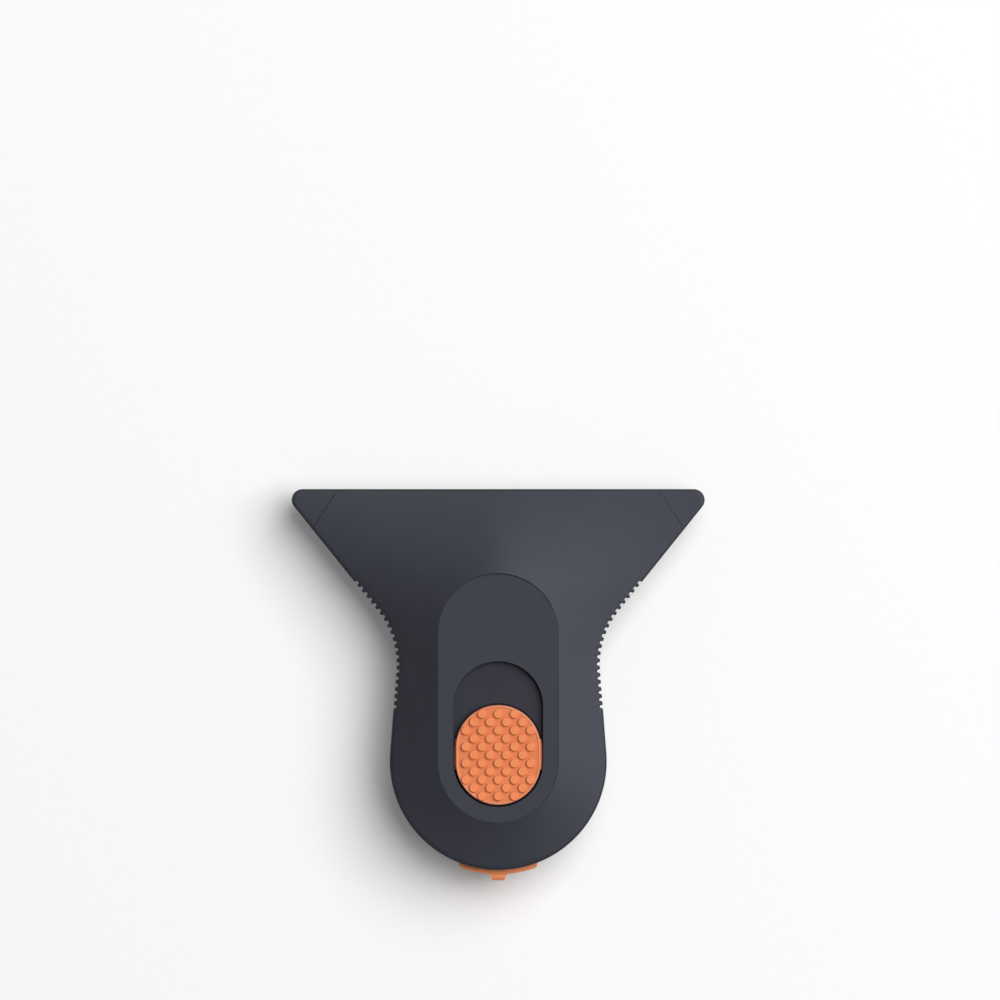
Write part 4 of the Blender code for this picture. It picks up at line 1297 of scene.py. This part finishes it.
blade = prism("blade", blade_outline(), PART_Z - BLADE_T / 2, PART_Z + BLADE_T / 2)
bm = bmesh.new()
for sign in (1, -1):
    back = BLADE_EDGE_Y - BLADE_BEVEL
    z0, z1 = PART_Z + sign * BLADE_T / 2, PART_Z + sign * BLADE_EDGE_T / 2
    slope = (z1 - z0) / BLADE_BEVEL
    y0, y1 = back - 0.6, BLADE_EDGE_Y + 0.8
    tri = [(y0, z0 - slope * 0.6), (y1, z1 + slope * 0.8), (y1, PART_Z + sign * 2.0), (y0, PART_Z + sign * 2.0)]
    low = [bm.verts.new((-32.0, y, z)) for y, z in tri]
    base = bm.faces.new(low)
    out = bmesh.ops.extrude_face_region(bm, geom=[base])
    top = [v for v in out["geom"] if isinstance(v, bmesh.types.BMVert)]
    bmesh.ops.translate(bm, verts=top, vec=(64.0, 0, 0))
cut_bevel = finish("cut_bevel", bm)
combine(blade, (cut_bevel, "DIFFERENCE"))
soften(blade, 0.05, 2, 30)
one_material(shade(blade, 12), zirconia)

# ------------------------------------------------------------- blade carrier
plate = [
    (-11.2, -19.5), (11.2, -19.5), (11.2, 7.2), (12.5, 8.4), (14.4, 8.4), (14.4, spine_y - 0.3),
    (12.5, spine_y - 0.3), (12.5, 17.2), (-12.5, 17.2), (-12.5, spine_y - 0.3),
    (-14.4, spine_y - 0.3), (-14.4, 8.4), (-12.5, 8.4), (-11.2, 7.2),
]
carrier = prism("carrier", plate, PLATE_Z0, PLATE_Z1)
shoulder = boxes("shoulder", [(-14.1, 14.1, 8.9, spine_y - 0.35, PLATE_Z1 - 0.5, 6.8)])
bm = bmesh.new()
for i in range(4):
    x = (i - 1.5) * BLADE_NOTCH_PITCH
    w = BLADE_NOTCH_W / 2 - 0.3
    pts = [(x + w, spine_y - 1.0)]
    for k in range(17):
        a = math.pi * k / 16
        pts.append((x + w * math.cos(a), spine_y + BLADE_NOTCH_D - 0.3 - w + w * math.sin(a)))
    pts.append((x - w, spine_y - 1.0))
    add_prism(bm, pts, PLATE_Z1 - 0.45, 6.72)
lugs = finish("lugs", bm)
bm = bmesh.new()
for side in (1, -1):
    x0, x1 = sorted((side * 6.9, side * 8.0))
    add_box(bm, x0, x1, -16.0, 3.0, 1.9, PLATE_Z0 + 0.4)
add_box(bm, -5.5, 5.5, -15.6, -6.4, PLATE_Z1 - 0.4, DECK_Z0 + 0.4)
skids = finish("skids", bm)
deck = prism("deck", stadium(DECK_X, DECK_Y0, DECK_Y1, 48), DECK_Z0, DECK_Z1)
deck_lip = prism("deck_lip", stadium(DECK_X - 0.2, DECK_TAIL_Y0, DECK_TAIL_Y0 + 16.0, 48), DECK_TAIL_Z0, DECK_TAIL_Z1)
peg_hole = boxes("peg_hole", [(-3.5, 3.5, -14.8, -7.2, 7.3, 12.0)])
pocket = boxes("pocket", [(9.75, 12.0, -16.4, -4.6, 3.0, 7.0), (-6.6, 6.6, -5.2, 6.2, 3.0, 7.0)])
bm = bmesh.new()
outer = stadium(BUTTON_X + 0.26, BUTTON_Y0 - 0.26, BUTTON_Y1 + 0.26, 48)
add_stack(bm, [(outer, DECK_Z1 - 0.5), (outer, DECK_Z1 + 0.5)])
sink = finish("sink", bm)
combine(
    carrier,
    (shoulder, "UNION"),
    (lugs, "UNION"),
    (skids, "UNION"),
    (deck, "UNION"),
    (deck_lip, "UNION"),
    (sink, "DIFFERENCE"),
    (peg_hole, "DIFFERENCE"),
    (pocket, "DIFFERENCE"),
)
soften(carrier, 0.12, 2, 40)
one_material(shade(carrier, 35), carrier_acetal)


# ------------------------------------------------------------------- springs
def strip(name, path, thick, z0, z1):
    left, right = [], []
    for i, p in enumerate(path):
        a = Vector(path[max(i - 1, 0)])
        b = Vector(path[min(i + 1, len(path) - 1)])
        d = (b - a).normalized()
        n = Vector((-d.y, d.x)) * thick / 2
        left.append((p[0] + n.x, p[1] + n.y))
        right.append((p[0] - n.x, p[1] - n.y))
    return prism(name, right + list(reversed(left)), z0, z1)


leaf = [(10.15, -16.0), (10.15, -14.5), (10.15, -13.0)]
for i in range(29):
    t = i / 28
    leaf.append((10.15 + 1.5 * math.sin(math.pi * t) ** 2, lerp(-12.4, -8.6, t)))
leaf += [(10.15, -8.0), (10.15, -6.5), (10.15, -5.0)]
detent = strip("detent_leaf", leaf, 0.25, 4.15, 5.3)
soften(detent, 0.03, 2, 50)
one_material(shade(detent, 35), leaf_steel)

bow = strip(
    "latch_bow",
    [(lerp(-4.5, 4.5, i / 36), -21.66 - 1.66 * math.sin(math.pi * i / 36)) for i in range(37)],
    0.3, 4.4, 5.9,
)
soften(bow, 0.03, 2, 50)
one_material(shade(bow, 35), bow_steel)

# ---------------------------------------------------------------------- pins
pins = []
for name, x0, x1 in (("pin_right", PIN_X0, PIN_X1), ("pin_left", -PIN_X1, -PIN_X0)):
    bm = bmesh.new()
    rod_along_x(bm, x0, x1, HINGE_Y, HINGE_Z, PIN_R, 32, chamfer=0.08)
    pins.append(one_material(finish(name, bm, smooth_angle=40), pin_steel))

# ------------------------------------------------------- who rides on what
for piece, body, cad, slot in (
    (tray, "housing", "lower_shell", "shell_nylon"),
    (pins[0], "housing", "hinge_pin_right", "pin_steel"),
    (pins[1], "housing", "hinge_pin_left", "pin_steel"),
    (bow, "housing", "latch_spring", "spring_steel"),
    (lid, "lid", "upper_shell", "shell_nylon"),
    (carrier, "slider", "blade_carrier", "carrier_plastic"),
    (button, "slider", "thumb_button", "orange_plastic"),
    (blade, "slider", "ceramic_blade", "blade_ceramic"),
    (detent, "slider", "detent_spring", "spring_steel"),
    (latch, "latch", "rear_latch", "orange_plastic"),
):
    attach(piece, body)
    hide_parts(cad)

# --------------------------------------------------------------------- floor
bm = bmesh.new()
bmesh.ops.create_grid(bm, x_segments=8, y_segments=8, size=1500.0)
floor = finish("floor", bm)
floor.location = (0.0, 0.0, -0.00002)
floor_mat = bpy.data.materials.new("floor_card")
floor_mat.use_nodes = True
t = floor_mat.node_tree
shader = t.nodes["Principled BSDF"]
shader.inputs["Roughness"].default_value = 0.8
shader.inputs["Specular IOR Level"].default_value = 0.2
where = node(t, "ShaderNodeTexCoord", (-900, 0))
paper = node(t, "ShaderNodeTexNoise", (-700, 0))
paper.inputs["Scale"].default_value = 600.0
t.links.new(where.outputs["Object"], paper.inputs["Vector"])
mix = node(t, "ShaderNodeMix", (-400, 0), data_type="RGBA")
mix.inputs["A"].default_value = (0.86, 0.86, 0.86, 1.0)
mix.inputs["B"].default_value = (0.88, 0.88, 0.88, 1.0)
t.links.new(paper.outputs["Fac"], mix.inputs["Factor"])
t.links.new(mix.outputs["Result"], shader.inputs["Base Color"])
shader.inputs["Emission Color"].default_value = (1.0, 1.0, 1.0, 1.0)
shader.inputs["Emission Strength"].default_value = 0.12
floor.data.materials.append(floor_mat)
floor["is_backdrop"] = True

# --------------------------------------------------------------------- light
scene = bpy.context.scene
world = bpy.data.worlds.new("studio")
world.use_nodes = True
world.node_tree.nodes["Background"].inputs["Color"].default_value = (0.95, 0.97, 1.0, 1.0)
world.node_tree.nodes["Background"].inputs["Strength"].default_value = 0.12
scene.world = world


def softbox(name, azimuth, elevation, distance, size, power, colour=(1.0, 1.0, 1.0)):
    """An area light that looks at the tool; azimuth from +X towards +Y."""
    a, e = math.radians(azimuth), math.radians(elevation)
    away = Vector((math.cos(a) * math.cos(e), math.sin(a) * math.cos(e), math.sin(e)))
    data = bpy.data.lights.new(name, "AREA")
    data.shape = "RECTANGLE"
    data.size, data.size_y = size
    data.energy = power
    data.color = colour
    obj = bpy.data.objects.new(name, data)
    obj.location = away * distance
    obj.rotation_mode = "QUATERNION"
    obj.rotation_quaternion = away.to_track_quat("Z", "Y")
    bpy.context.collection.objects.link(obj)
    return obj


softbox("key", 33.0, 58.0, 2.2, (2.1, 2.1), 62.0)

# -------------------------------------------------------------------- camera
camera = bpy.data.cameras.new("camera")
camera.type = "PERSP"
camera.sensor_width = 36.0
VIEW_MM = 156.0
DISTANCE_MM = 2000.0
camera.lens = 18.0 / (VIEW_MM / 2 / DISTANCE_MM)
camera.clip_start = 0.05
camera.clip_end = 20.0
cam = bpy.data.objects.new("camera", camera)
cam.location = (0.28 * MM, 28.8 * MM, (DISTANCE_MM + 8.0) * MM)
bpy.context.collection.objects.link(cam)
scene.camera = cam
scene.view_settings.view_transform = "Standard"
scene.view_settings.look = "None"

low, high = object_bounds()
